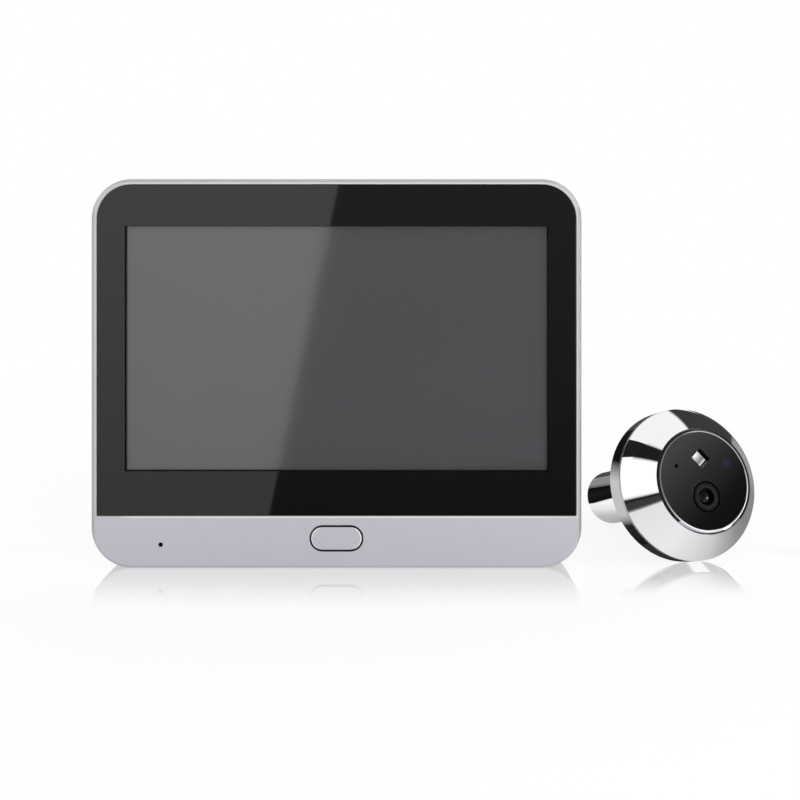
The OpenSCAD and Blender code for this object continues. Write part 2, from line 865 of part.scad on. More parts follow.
// Body of the power switch, with a pocket for the knob's foot
module switch_body() {
    pocket = knob_sunk + 2 * switch_gap;
    color("dimgray") stand_up()
        translate([left_x + wall_t + port_wall_gap, switch_up, board_back - switch_body_h / 2])
            rotate([90, 0, 90]) difference() {
                linear_extrude(switch_body_w) square([switch_body_l, switch_body_h], center = true);
                translate([0, 0, -over]) linear_extrude(pocket + over) knob_slot();
            }
}

// Knob of the power switch, ribbed for the thumb
module switch_knob() {
    foot = wall_t + port_wall_gap + knob_sunk;
    color("#2a2a2c") stand_up()
        translate([left_x, switch_up - switch_travel / 2, board_back - switch_body_h / 2])
            rotate([90, 0, 90]) difference() {
                translate([0, 0, knob_top]) linear_extrude(foot - knob_top)
                    square([knob_l, knob_h], center = true);
                for (i = [-1, 1])
                    translate([i * knob_groove_pitch / 2, 0, knob_top])
                        cube([knob_groove, knob_h + over, 2 * knob_groove], center = true);
            }
}

// Battery: a flat cell with soft edges
module battery() {
    z0 = floor_z + pad_t;
    color("#8a8f98") stand_up() translate([0, battery_low, 0])
        slab(battery_w, battery_h, battery_r, z0, z0 + battery_t, battery_edge, battery_edge);
}

// Adhesive pad under the battery
module battery_pad() {
    color("whitesmoke") stand_up() layer(floor_z, floor_z + pad_t)
        translate([0, battery_low + pad_inset])
            rounded_rect(battery_w - 2 * pad_inset, battery_h - 2 * pad_inset, battery_r);
}

// Loudspeaker: frame and magnet
module speaker() {
    z0 = floor_z + speaker_gasket_t;
    z1 = z0 + speaker_frame_t;
    color("#3a3a3c") stand_up() translate([speaker_x, speaker_up, 0]) {
        layer(z0, z1) oblong(speaker_l, speaker_w);
        layer(z1, z0 + speaker_t)
            oblong(speaker_l - 2 * speaker_magnet_in, speaker_w - 2 * speaker_magnet_in);
    }
}

// Foam ring between the loudspeaker and the back wall
module speaker_gasket() {
    color("#303030") stand_up() translate([speaker_x, speaker_up, 0])
        layer(floor_z, floor_z + speaker_gasket_t) difference() {
            oblong(speaker_l, speaker_w);
            oblong(speaker_l - 2 * speaker_rim, speaker_w - 2 * speaker_rim);
        }
}

// Microphone capsule
module microphone() {
    color("lightgray") stand_up() translate([-mic_out, mic_up, 0])
        layer(mic_capsule_back, mic_capsule_back + mic_capsule_t) circle(mic_capsule_r);
}

// Rubber boot that holds the capsule behind its hole
module microphone_boot() {
    color("#262626") stand_up() translate([-mic_out, mic_up, 0]) difference() {
        layer(ledge_back - mic_boot_t, ledge_back) circle(mic_boot_r);
        layer(ledge_back - mic_boot_t - over, mic_capsule_back + mic_capsule_t)
            circle(mic_capsule_r + fit_gap);
        layer(ledge_back - mic_boot_t, ledge_back + over) circle(d = mic_d);
    }
}

// Screws that close the monitor from the back
module case_screws() {
    color("gray") stand_up() translate([0, 0, case_head_seat]) case_screw_places()
        mirror([0, 0, 1])
            screw(case_head_r, case_head_h, case_screw_r, case_screw_top - case_head_seat);
}

// Screws that hold the main board
module board_screws() {
    color("gray") stand_up() translate([0, 0, board_front]) board_screw_places()
        screw(board_head_r, board_head_h, board_screw_r, board_screw_l);
}

// Outer form of the camera head: rim band and bulging dome
module head_outer() {
    chord = norm([rim_r - lip_r, dome_h]);
    out = [dome_h, rim_r - lip_r] / chord;
    bulge_r = (chord * chord / 4 + dome_bulge * dome_bulge) / (2 * dome_bulge);
    middle = [rim_r + lip_r, 2 * rim_w + dome_h] / 2;
    rotate_extrude() {
        difference() {
            square([rim_r, rim_w]);
            corner_cut(rim_r, 0, rim_edge_r, 1, -1);
        }
        intersection() {
            translate([0, rim_w]) square([rim_r, dome_h]);
            translate(middle - out * (bulge_r - dome_bulge)) circle(bulge_r);
        }
    }
}

// Head shell: bright bezel with a seat for the window, and bosses for the flange screws
module head_shell() {
    color("#c9ccd2") lay_down() difference() {
        head_outer();
        difference() {
            rotate_extrude() polygon([
                [0, -over],
                [head_inner_r, -over],
                [head_inner_r, rim_w],
                [cone_r, seat_back],
                [0, seat_back],
            ]);
            around(flange_angles, flange_screw_pcr) translate([0, 0, flange_front])
                cylinder(r = flange_boss_r, h = camera_board_back - flange_boss_air - flange_front);
        }
        translate([0, 0, seat_back - over])
            cylinder(r = window_r - seat_w, h = seat_t + 2 * over);
        translate([0, 0, window_back]) cylinder(r = window_r + window_gap, h = window_t + over);
        around(flange_angles, flange_screw_pcr) translate([0, 0, flange_head_seat])
            cylinder(r = flange_screw_r + fit_gap, h = flange_screw_l + fit_gap);
    }
}

// Black front window, with holes for the lens, the lamp and the microphone
module front_window() {
    color("#1d1e20") lay_down() difference() {
        translate([0, 0, window_back]) cylinder(r = window_r, h = window_t);
        layer(window_back - over, window_front + over) {
            translate([0, -lens_down]) circle(lens_recess_r);
            translate([0, lamp_up]) rotate(lamp_turn) square([lamp_l, lamp_w], center = true);
            translate([-side_out, side_up]) circle(camera_mic_hole_r);
        }
        translate([side_out, side_up, window_back - over])
            cylinder(r = infrared_r + infrared_gap, h = window_t - infrared_cover + over);
    }
}

// Lens barrel: conical mouth, seat of the lens and room for the sensor
module lens_barrel() {
    room_r = sensor_w / sqrt(2) + sensor_gap;
    room_top = camera_board_front + sensor_t + sensor_air;
    throat_r = lens_glass_r - lens_seat_w;
    color("#18181a") lay_down() translate([0, -lens_down, 0]) rotate_extrude() polygon([
        [room_r, camera_board_front],
        [lens_barrel_r, camera_board_front],
        [lens_barrel_r, lens_barrel_top],
        [lens_mouth_r, lens_barrel_top],
        [lens_glass_r + fit_gap, lens_seat + lens_glass_t],
        [lens_glass_r + fit_gap, lens_seat],
        [throat_r, lens_seat],
        [throat_r, room_top],
        [room_r, room_top],
    ]);
}

// Front lens: a disc with a round crown
module lens_glass() {
    crown_r = (pow(lens_glass_r, 2) + pow(lens_glass_rise, 2)) / (2 * lens_glass_rise);
    color("#30343c") lay_down() translate([0, -lens_down, lens_seat]) {
        cylinder(r = lens_glass_r, h = lens_glass_t);
        intersection() {
            translate([0, 0, lens_glass_t]) cylinder(r = lens_glass_r, h = lens_glass_rise + over);
            translate([0, 0, lens_glass_t + lens_glass_rise - crown_r]) sphere(crown_r);
        }
    }
}

// Image sensor under the lens
module image_sensor() {
    color("#2c3038") lay_down() translate([0, -lens_down, 0])
        layer(camera_board_front, camera_board_front + sensor_t) square(sensor_w, center = true);
}

// White lamp, sunk in its recess
module lamp() {
    color("white") lay_down() translate([0, lamp_up, 0]) rotate([0, 0, lamp_turn])
        layer(camera_board_front, lamp_top)
            square([lamp_l - 2 * lamp_gap, lamp_w - 2 * lamp_gap], center = true);
}

// Infrared lamp behind the thin spot of the window
module infrared_lamp() {
    dome_z = window_front - infrared_cover - infrared_gap - infrared_r;
    color("#3a3550") lay_down() translate([side_out, side_up, 0]) rotate_extrude() {
        translate([0, camera_board_front]) square([infrared_r + infrared_foot, infrared_foot_t]);
        translate([0, camera_board_front]) square([infrared_r, dome_z - camera_board_front]);
        translate([0, dome_z]) intersection() {
            circle(infrared_r);
            square(infrared_r);
        }
    }
}

// Microphone of the camera unit
module camera_microphone() {
    color("lightgray") lay_down() translate([-side_out, side_up, camera_board_front])
        cylinder(r = camera_mic_r, h = window_back - camera_mic_air - camera_board_front);
}

// Round board behind the window
module camera_board() {
    color("darkgreen") lay_down() difference() {
        translate([0, 0, camera_board_back]) cylinder(r = camera_board_r, h = camera_board_t);
        around(post_angles, post_pcr) translate([0, 0, camera_board_back - over])
            cylinder(r = camera_screw_r + shank_gap, h = camera_board_t + 2 * over);
    }
}

// Ribbon socket on the back of the round board
module camera_socket() {
    color("ivory") lay_down() layer(camera_board_back - camera_socket_t, camera_board_back)
        square([camera_socket_l, camera_socket_w], center = true);
}

// Screws of the round board
module camera_screws() {
    color("gray") lay_down() around(post_angles, post_pcr) translate([0, 0, camera_board_front])
        screw(camera_head_r, camera_head_h, camera_screw_r, camera_screw_l);
}

// Barrel: a tube for the ribbon, with a shoulder and a spigot that is pressed into the flange plate
module barrel() {
    color("#c9ccd2") lay_down() rotate_extrude() difference() {
        union() {
            translate([bore_r, -barrel_l]) square([barrel_wall, barrel_l + flange_back]);
            translate([bore_r, flange_back - fit_gap]) square([spigot_r - bore_r, flange_t + fit_gap]);
        }
        corner_cut(barrel_r, -barrel_l, rim_edge_r, 1, -1);
    }
}

// Flange plate that closes the head, with posts for the round board
module flange_plate() {
    color("#b4b7bd") lay_down() difference() {
        union() {
            translate([0, 0, flange_back]) cylinder(r = head_inner_r - flange_gap, h = flange_t);
            around(post_angles, post_pcr) translate([0, 0, flange_front - fit_gap])
                cylinder(r = post_r, h = camera_board_back - flange_front + fit_gap);
        }
        translate([0, 0, flange_back - over]) cylinder(r = spigot_r + fit_gap, h = flange_t + 2 * over);
        around(post_angles, post_pcr)
            translate([0, 0, camera_board_front - camera_screw_l - fit_gap])
                cylinder(r = camera_screw_r + fit_gap, h = camera_screw_l);
        around(flange_angles, flange_screw_pcr) translate([0, 0, flange_back - over]) {
            cylinder(r = flange_screw_r + shank_gap, h = flange_t + 2 * over);
            cylinder(r = flange_head_r + head_gap, h = flange_head_h + over);
        }
    }
}

// Screws that hold the flange plate in the head
module flange_screws() {
    color("gray") lay_down() around(flange_angles, flange_screw_pcr)
        translate([0, 0, flange_head_seat]) mirror([0, 0, 1])
            screw(flange_head_r, flange_head_h, flange_screw_r, flange_screw_l);
}

// Foam ring that seals the flange to the door
module door_gasket() {
    color("#2b2b2d") lay_down() translate([0, 0, flange_back - gasket_ring_t]) difference() {
        cylinder(r = gasket_ring_out, h = gasket_ring_t);
        translate([0, 0, -over]) cylinder(r = gasket_ring_in, h = gasket_ring_t + 2 * over);
    }
}

front_housing();
rear_cover();
cover_glass();
glass_tape();
display_gasket();
display_cell();
backlight_tray();
view_button();
switch_plunger();
button_switch();
main_board();
board_chips();
ribbon_socket();
usb_port();
card_slot();
switch_body();
switch_knob();
battery();
battery_pad();
speaker();
speaker_gasket();
microphone();
microphone_boot();
case_screws();
board_screws();
head_shell();
front_window();
lens_barrel();
lens_glass();
image_sensor();
lamp();
infrared_lamp();
camera_microphone();
camera_board();
camera_socket();
camera_screws();
barrel();
flange_plate();
flange_screws();
door_gasket();
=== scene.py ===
import json
import math

import bpy
from mathutils import Matrix, Vector


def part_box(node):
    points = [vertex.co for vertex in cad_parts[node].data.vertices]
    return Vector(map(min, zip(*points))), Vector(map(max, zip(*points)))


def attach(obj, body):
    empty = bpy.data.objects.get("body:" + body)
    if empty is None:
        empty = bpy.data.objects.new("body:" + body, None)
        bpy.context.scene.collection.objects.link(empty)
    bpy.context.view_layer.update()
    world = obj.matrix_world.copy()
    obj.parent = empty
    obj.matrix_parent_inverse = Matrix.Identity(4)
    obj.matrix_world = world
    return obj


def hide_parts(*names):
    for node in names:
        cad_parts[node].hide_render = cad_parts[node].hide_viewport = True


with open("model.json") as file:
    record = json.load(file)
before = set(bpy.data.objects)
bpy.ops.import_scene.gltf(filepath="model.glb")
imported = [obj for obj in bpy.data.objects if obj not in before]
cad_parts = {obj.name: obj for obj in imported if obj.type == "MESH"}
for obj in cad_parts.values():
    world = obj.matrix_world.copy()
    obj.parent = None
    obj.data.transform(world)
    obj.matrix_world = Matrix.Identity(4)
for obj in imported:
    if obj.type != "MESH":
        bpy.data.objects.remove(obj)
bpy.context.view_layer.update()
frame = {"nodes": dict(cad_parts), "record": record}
nodes = frame["nodes"]
record = frame["record"]
mm = 0.001
bodyOf = {node: body for body, members in record["behaviour"]["bodies"].items() for node in members}
print("frame loaded:", len(nodes), "nodes")


# shader maths: a socket that can be used in Python expressions
class Socket:
    def __init__(self, tree, out):
        self.tree = tree
        self.out = out

    def maths(self, operation, first, second=0.0):
        return addNode(self.tree, "ShaderNodeMath", {"operation": operation}, {0: first, 1: second})

    def __add__(self, other):
        return self.maths("ADD", self, other)

    def __sub__(self, other):
        return self.maths("SUBTRACT", self, other)

    def __rsub__(self, other):
        return self.maths("SUBTRACT", other, self)

    def __mul__(self, other):
        return self.maths("MULTIPLY", self, other)

    def __truediv__(self, other):
        return self.maths("DIVIDE", self, other)

    def __abs__(self):
        return self.maths("ABSOLUTE", self)

    __radd__ = __add__
    __rmul__ = __mul__

    def call(self, operation, other=0.0):
        return self.maths(operation, self, other)

    # 0 below low, 1 above high, smooth between
    def ramp(self, low, high):
        settings = {"interpolation_type": "SMOOTHSTEP", "clamp": True}
        sockets = {"Value": self, "From Min": low, "From Max": high}
        return addNode(self.tree, "ShaderNodeMapRange", settings, sockets)


# any node: its type, its settings, then the values or links of its sockets
def addNode(tree, kind, settings=None, sockets=None, out=0):
    node = tree.nodes.new(kind)
    for key, value in (settings or {}).items():
        if key == "stops":
            setStops(node.color_ramp, value)
        else:
            setattr(node, key, value)
    for key, value in (sockets or {}).items():
        if isinstance(value, Socket):
            tree.links.new(value.out, node.inputs[key])
        else:
            node.inputs[key].default_value = value
    return Socket(tree, node.outputs[out])


def setStops(ramp, stops):
    while len(ramp.elements) < len(stops):
        ramp.elements.new(1.0)
    for element, (place, colour) in zip(ramp.elements, stops):
        element.position = place
        element.color = colour if len(colour) == 4 else (*colour, 1.0)


# a surface finish: one Principled shader, constants set on its own sockets
class Finish:
    # a mix node's two colour inputs and its colour output
    mixFirst, mixSecond, mixOut = 6, 7, 2

    def __init__(self, name, colour=(0.5, 0.5, 0.5), **sockets):
        self.material = bpy.data.materials.new(name)
        self.material.use_nodes = True
        self.tree = self.material.node_tree
        self.shader = self.tree.nodes["Principled BSDF"]
        self.shader.inputs["Base Color"].default_value = (*colour, 1.0)
        self.colour = colour
        for key, value in sockets.items():
            self.shader.inputs[key.replace("_", " ")].default_value = value
        self.coords = None

    def node(self, kind, settings=None, sockets=None, out=0):
        return addNode(self.tree, kind, settings, sockets, out)

    def place(self):
        if self.coords is None:
            self.coords = self.node("ShaderNodeTexCoord", out="Object")
        return self.coords

    # object coordinates as x, y and z
    def axes(self):
        split = self.node("ShaderNodeSeparateXYZ", None, {0: self.place()})
        return [Socket(self.tree, out) for out in split.out.node.outputs]

    # distance along a direction from a point
    def along(self, direction, origin):
        offset = self.node("ShaderNodeVectorMath", {"operation": "SUBTRACT"}, {0: self.place(), 1: origin})
        sockets = {0: offset, 1: direction}
        return self.node("ShaderNodeVectorMath", {"operation": "DOT_PRODUCT"}, sockets, "Value")

    # distance in mm from a line along the camera unit's axis
    def fromAxis(self, x, y):
        sideways = self.along(unitRight, unitPoint(x, y, 0))
        upwards = self.along(unitUp, unitPoint(x, y, 0))
        return (sideways * sideways + upwards * upwards).call("SQRT") / mm

    def noise(self, scale, detail=2.0, roughness=0.5, stretch=None):
        where = self.place()
        if stretch:
            where = self.node("ShaderNodeMapping", None, {"Vector": where, "Scale": stretch})
        sockets = {"Vector": where, "Scale": scale, "Detail": detail, "Roughness": roughness}
        return self.node("ShaderNodeTexNoise", None, sockets)

    def cells(self, scale, feature="F1", out=0):
        sockets = {"Vector": self.place(), "Scale": scale}
        return self.node("ShaderNodeTexVoronoi", {"feature": feature}, sockets, out)

    def blend(self, share, first, second):
        first, second = [c if isinstance(c, Socket) else (*c, 1.0) for c in (first, second)]
        sockets = {"Factor": share, self.mixFirst: first, self.mixSecond: second}
        return self.node("ShaderNodeMix", {"data_type": "RGBA"}, sockets, self.mixOut)

    # the base colour made a little lighter and darker by a 0 to 1 pattern
    def shaded(self, pattern, spread):
        dark = tuple(c * (1 - spread) for c in self.colour)
        light = tuple(c * (1 + spread) for c in self.colour)
        return self.blend(pattern, dark, light)

    def feed(self, name, socket):
        self.tree.links.new(socket.out, self.shader.inputs[name])

    # roughness from low, up by rise where a 0 to 1 pattern is 1
    def roughen(self, pattern, low, rise):
        self.feed("Roughness", low + rise * pattern)

    # one pattern for the colour's spread and for the roughness
    def grained(self, pattern, spread, low, rise):
        self.feed("Base Color", self.shaded(pattern, spread))
        self.roughen(pattern, low, rise)

    def bump(self, height, depth, strength=1.0):
        sockets = {"Height": height, "Distance": depth, "Strength": strength}
        self.feed("Normal", self.node("ShaderNodeBump", None, sockets))


# the camera unit's own axes, from its two mounts: the barrel's axis and the face that meets the door
mounts = {mount["name"]: mount for mount in record["mounts"]}
unitBack = Vector(mounts["door_barrel"]["axis"]).normalized()
barrelPoint = Vector(mounts["door_barrel"]["pos_m"])
doorPoint = Vector(mounts["door_face"]["pos_m"])
unitFront = -unitBack
unitOrigin = barrelPoint + unitBack * (doorPoint - barrelPoint).dot(unitBack)
unitRight = Vector((-unitFront.y, unitFront.x, 0)).normalized()
unitUp = unitFront.cross(unitRight)
unitMatrix = Matrix.Translation(unitOrigin) @ Matrix((unitRight, unitUp, unitFront)).transposed().to_4x4()


def unitPoint(x, y, z):
    return unitMatrix @ Vector((x * mm, y * mm, z * mm))


# the photograph's camera
cameraPlace = {
    "x": 0.01424, "y": -0.233, "z": 0.0685, "lens": 45.213, "sensor": 36.0, "shiftY": -0.1721, "near": 0.005,
}


def makeCamera():
    data = bpy.data.cameras.new("photoCamera")
    data.lens = cameraPlace["lens"]
    data.sensor_width = cameraPlace["sensor"]
    data.shift_y = cameraPlace["shiftY"]
    data.clip_start = cameraPlace["near"]
    camera = bpy.data.objects.new("photoCamera", data)
    camera.location = (cameraPlace["x"], cameraPlace["y"], cameraPlace["z"])
    camera.rotation_euler = (math.radians(90), 0, 0)
    bpy.context.scene.collection.objects.link(camera)
    bpy.context.scene.camera = camera
    return camera


photoCamera = makeCamera()

# white studio with black flags: what the bright metal and the glass mirror.
# The flags round the head are set out as on a clock face that looks along the head's axis.
studio = {
    "ambient": 0.86, "headMiddle": 7, "windowMiddle": 12,
    "domeFlags": [
        (0.00, 0.042), (1.20, 0.046), (1.55, 0.050), (1.66, 0.32), (2.5, 0.35), (3.0, 0.325), (3.5, 0.255),
        (4.5, 0.24), (5.0, 0.305), (5.5, 0.46), (6.0, 0.65), (6.5, 0.76), (7.1, 0.88), (7.6, 0.85),
        (8.36, 0.80), (8.40, 0.02), (8.44, 0.046), (8.59, 0.045), (8.64, 0.012), (8.69, 0.010), (8.73, 1.08),
        (9.78, 1.08), (9.82, 0.012), (10.28, 0.014), (10.33, 0.95), (11.70, 0.97), (11.77, 0.040),
        (12.0, 0.042),
    ],
    "sideFlags": [
        (0.0, 0.05), (5.5, 0.05), (6.0, 0.02), (7.4, 0.03), (8.2, 0.05), (8.5, 0.5), (9.3, 0.5), (9.8, 0.02),
        (10.4, 0.02), (11.0, 0.10), (12.0, 0.05),
    ],
    "coveFlags": [
        (0.0, 0.03), (2.0, 0.2), (3.0, 0.9), (6.5, 1.0), (7.6, 0.5), (8.1, 0.012), (11.6, 0.02), (12.0, 0.03),
    ],
    "lipFlags": [
        (0.0, 0.5), (2.6, 0.5), (4.0, 1.05), (7.0, 1.05), (7.8, 0.5), (8.6, 0.22), (11.4, 0.16), (11.9, 0.5),
        (12.0, 0.5),
    ],
    "edgeLevel": 0.20,
    "edgeSlope": (0.08, 0.12), "coveSlope": (0.23, 0.27), "domeSlope": (0.395, 0.42),
    "lipSlope": (0.845, 0.865), "windowSlope": (0.994, 0.997),
    "windowLevels": [(-11, 0.0), (-5, 0.07), (1, 0.46), (9, 1.2), (11, 1.3)],
    "glints": [(0.12, -0.12, 0.11, 14.0), (0.45, -0.10, 0.07, 7.0)],
    "glintSlope": (0.81, 0.84), "glintCore": 0.6,
    "glareEdge": ((0.36, 85.6), (-13.75, 18.4)), "glareSoft": 0.001,
    "glareSpan": (17.0, 81.0),
    "glareLeft": (0.80, 1.12),
    "glareRight": (0.093, 0.23),
    "glassFront": -7.75, "leastForward": 0.2,
    "glassForward": (0.90, 0.915), "glassRight": (0.185, 0.20), "glassTop": (0.085, 0.10),
    "behind": (0.86, 0.885), "backdropRise": (0.245, 0.265), "backdropLow": 0.07, "backdropHigh": 0.93,
}


def mix(share, first, second):
    return first * (1 - share) + second * share


# grey levels along a value: stops of (value, grey)
def greyRamp(tree, value, stops):
    low, high = stops[0][0], stops[-1][0]
    colours = [((at - low) / (high - low), (grey, grey, grey)) for at, grey in stops]
    return addNode(tree, "ShaderNodeValToRGB", {"stops": colours}, {0: (value - low) / (high - low)})


def makeStudio():
    world = bpy.data.worlds.new("whiteStudio")
    world.use_nodes = True
    world.cycles.sampling_method = "NONE"
    bpy.context.scene.world = world
    tree = world.node_tree
    way = addNode(tree, "ShaderNodeTexCoord", out="Generated")

    def dot(vector, direction):
        sockets = {0: vector, 1: direction}
        return addNode(tree, "ShaderNodeVectorMath", {"operation": "DOT_PRODUCT"}, sockets, "Value")

    # direction halfway between the mirrored ray and the way to the photograph's camera
    toCamera = (photoCamera.location - unitPoint(0, 0, studio["headMiddle"])).normalized()
    half = addNode(tree, "ShaderNodeVectorMath", {"operation": "ADD"}, {0: way, 1: toCamera})
    half = addNode(tree, "ShaderNodeVectorMath", {"operation": "NORMALIZE"}, {0: half})
    across, upwards, ahead = dot(half, unitRight), dot(half, unitUp), dot(half, unitFront)
    clock = (across.call("ARCTAN2", upwards) / (2 * math.pi)).call("FRACT") * 12

    # the slope of the mirroring face tells rim, rim edge, lip wall, dome and lip apart
    metal = greyRamp(tree, clock, studio["sideFlags"])
    metal = mix(ahead.ramp(*studio["edgeSlope"]), metal, studio["edgeLevel"])
    for zone in ("cove", "dome", "lip"):
        flags = greyRamp(tree, clock, studio[zone + "Flags"])
        metal = mix(ahead.ramp(*studio[zone + "Slope"]), metal, flags)

    # soft gradient that the front window mirrors, light at the upper left
    sight = unitPoint(0, 0, studio["windowMiddle"]) - photoCamera.location
    reach = sight.length
    sight.normalize()
    mirroredWay = sight - 2 * sight.dot(unitFront) * unitFront
    slant = (unitUp - unitRight).normalized()
    diagonal = (dot(way, slant) - mirroredWay.dot(slant)) * (reach / mm)
    metal = mix(ahead.ramp(*studio["windowSlope"]), metal, greyRamp(tree, diagonal, studio["windowLevels"]))
    for spotX, spotY, size, level in studio["glints"]:
        offX, offY = across - spotX, upwards - spotY
        spread = (offX * offX + offY * offY).call("SQRT")
        spot = 1 - spread.ramp(studio["glintCore"] * size, size)
        metal = metal + ahead.ramp(*studio["glintSlope"]) * spot * level

    # slanted edge of the light that the cover glass mirrors, given by two points on the glass
    forward = -1 * dot(way, (0, 1, 0))
    depth = forward.call("MAXIMUM", studio["leastForward"])
    sideways = dot(way, (1, 0, 0)) / depth
    rising = dot(way, (0, 0, 1)) / depth
    reach = studio["glassFront"] * mm - cameraPlace["y"]

    def mirroredAt(x, z):
        return (x * mm - cameraPlace["x"]) / reach, (z * mm - cameraPlace["z"]) / reach

    (topSide, topRise), (lowSide, lowRise) = [mirroredAt(*spot) for spot in studio["glareEdge"]]
    slant = (topSide - lowSide) / (topRise - lowRise)
    soft = studio["glareSoft"]
    rightOfEdge = (sideways - topSide - (rising - topRise) * slant).ramp(-soft, soft)
    spanLow, spanHigh = [mirroredAt(0, z)[1] for z in studio["glareSpan"]]
    height = (rising - spanLow) / (spanHigh - spanLow)
    leftGlow, rightGlow = [
        low + (high - low) * height for low, high in (studio["glareLeft"], studio["glareRight"])
    ]
    glare = (leftGlow * (1 - rightOfEdge) + rightGlow * rightOfEdge).call("MAXIMUM", 0.0)
    onGlass = forward.ramp(*studio["glassForward"]) * (1 - sideways.ramp(*studio["glassRight"]))
    onGlass = onGlass * (1 - rising.ramp(*studio["glassTop"]))
    mirrored = metal * (1 - onGlass) + glare * onGlass

    # behind the object: white for the glossy floor, dark lower down for the upper edge of the rim
    behind = dot(way, (0, 1, 0)).ramp(*studio["behind"])
    upper = dot(way, (0, 0, 1)).ramp(*studio["backdropRise"])
    backdrop = studio["backdropLow"] + studio["backdropHigh"] * upper
    mirrored = mirrored * (1 - behind) + backdrop * behind

    path = addNode(tree, "ShaderNodeLightPath").out.node
    seen = Socket(tree, path.outputs["Is Camera Ray"])
    glossy = Socket(tree, path.outputs["Is Glossy Ray"])
    through = Socket(tree, path.outputs["Is Transmission Ray"])
    reflected = glossy.call("MAXIMUM", through)
    plain = studio["ambient"] * (1 - reflected) + mirrored * reflected
    light = seen + (1 - seen) * plain
    tree.links.new(light.out, tree.nodes["Background"].inputs["Color"])


softboxes = {
    "topSoftbox": {
        "place": (0.05, -0.55, 0.75), "target": (0.02, 0, 0.03), "size": (0.7, 0.5), "power": 0.6,
    },
    "sideSoftbox": {
        "place": (0.14, -0.32, 0.10), "target": (0.03, 0, 0.03), "size": (0.15, 0.2), "power": 0.33,
    },
}


def makeLamp(name, place, target, size, power):
    data = bpy.data.lights.new(name, "AREA")
    data.shape = "RECTANGLE"
    data.size, data.size_y = size
    data.energy = power
    lamp = bpy.data.objects.new(name, data)
    lamp.location = place
    lamp.rotation_euler = (Vector(target) - Vector(place)).to_track_quat("-Z", "Y").to_euler()
    lamp.visible_glossy = False
    bpy.context.scene.collection.objects.link(lamp)


# pale floor: white, with a soft mirror image just in front of the monitor and of the head
floorLook = {
    "size": 6.0, "lift": 0.85, "middle": (0.02, 0.0, 0.0), "far": (0.16, 0.40), "back": (-0.004, 0.012),
    "gloss": 0.44, "front": (-0.036, -0.011), "left": (-0.085, -0.065), "right": (0.054, 0.057),
    "headGloss": 0.46, "headFront": (-0.029, -0.009), "headLeft": (0.0785, 0.0815), "headSlant": 0.8,
    "headRight": (0.105, 0.125),
}


def makeFloor():
    bpy.ops.object.select_all(action="DESELECT")
    bpy.ops.mesh.primitive_plane_add(size=floorLook["size"])
    floor = bpy.context.object
    floor.name = "studioFloor"
    floor.visible_glossy = False
    look = Finish("floorWhite", (1, 1, 1), Roughness=0.9, Specular_IOR_Level=0.0)
    tree = look.tree
    x, y = look.axes()[:2]
    seen = look.node("ShaderNodeLightPath", out="Is Camera Ray")
    sockets = {0: look.place(), 1: floorLook["middle"]}
    away = look.node("ShaderNodeVectorMath", {"operation": "DISTANCE"}, sockets, "Value")
    lift = floorLook["lift"] + (1 - floorLook["lift"]) * away.ramp(*floorLook["far"])
    matt = Socket(tree, look.shader.outputs[0])
    white = look.node("ShaderNodeEmission", None, {"Color": (1, 1, 1, 1), "Strength": 1.0})
    paper = look.node("ShaderNodeMixShader", None, {0: seen * lift, 1: matt, 2: white})
    mirror = look.node("ShaderNodeBsdfGlossy", None, {"Color": (1, 1, 1, 1), "Roughness": 0.02})
    monitorSide = x.ramp(*floorLook["left"]) * (1 - x.ramp(*floorLook["right"])) * y.ramp(*floorLook["front"])
    headStart = (x - floorLook["headSlant"] * y).ramp(*floorLook["headLeft"])
    headSide = headStart * (1 - x.ramp(*floorLook["headRight"])) * y.ramp(*floorLook["headFront"])
    shine = floorLook["gloss"] * monitorSide + floorLook["headGloss"] * headSide
    near = shine * (1 - y.ramp(*floorLook["back"]))
    mixed = look.node("ShaderNodeMixShader", None, {0: near, 1: paper, 2: mirror})
    tree.links.new(mixed.out, tree.nodes["Material Output"].inputs["Surface"])
    look.material.cycles.emission_sampling = "NONE"
    floor.data.materials.append(look.material)


# card beside the monitor that only mirrored rays see: white, with black and grey panels that give the head,
# its rim and its barrel their stripes. Points and heights on it are (y, z) in mm.
sideCard = {
    "x": 55.3, "y": (-8.6, 130.0), "z": (-60.0, 90.0),
    "stripeLow": ((-12.2, 37.2), (-3, 29.7)), "stripeHigh": ((-7, 52), (3.8, 42)), "stripe": 0.014,
    "white": 1.08, "whiteFall": 0.12, "soft": 0.25,
    "rimTop": ((0, 26), (16, 38)), "rimFront": (-5.0, -4.0),
    "rim": [(-40, 0.01), (-5, 0.02), (3, 0.55), (17.5, 0.58), (24.5, 0.006), (60, 0.012)],
    "barrelTop": ((16, 22), (66, 36)), "barrelLow": ((8, 4), (60, -55.8)),
    "barrelFront": (16.0, 18.0), "barrelBack": (106.0, 112.0), "barrelSlope": 0.45, "barrelStart": 19.0,
    "barrel": [
        (-30, 0.36), (-6, 0.90), (4, 0.97), (8.0, 0.97), (8.8, 0.003), (15, 0.012), (22, 0.003), (22.8, 0.13),
        (25.5, 0.22), (29, 0.285), (34, 0.25), (50, 0.28), (80, 0.32),
    ],
}


# part of the floor that the barrel mirrors
floorCard = {
    "x": (55.4, 100.0), "y": (10.0, 80.0), "z": 0.05, "slope": 0.292, "start": 20.0,
    "levels": [(50, 0.98), (60, 0.98), (65, 0.84), (69, 0.52), (73, 0.42), (80, 0.38)],
}


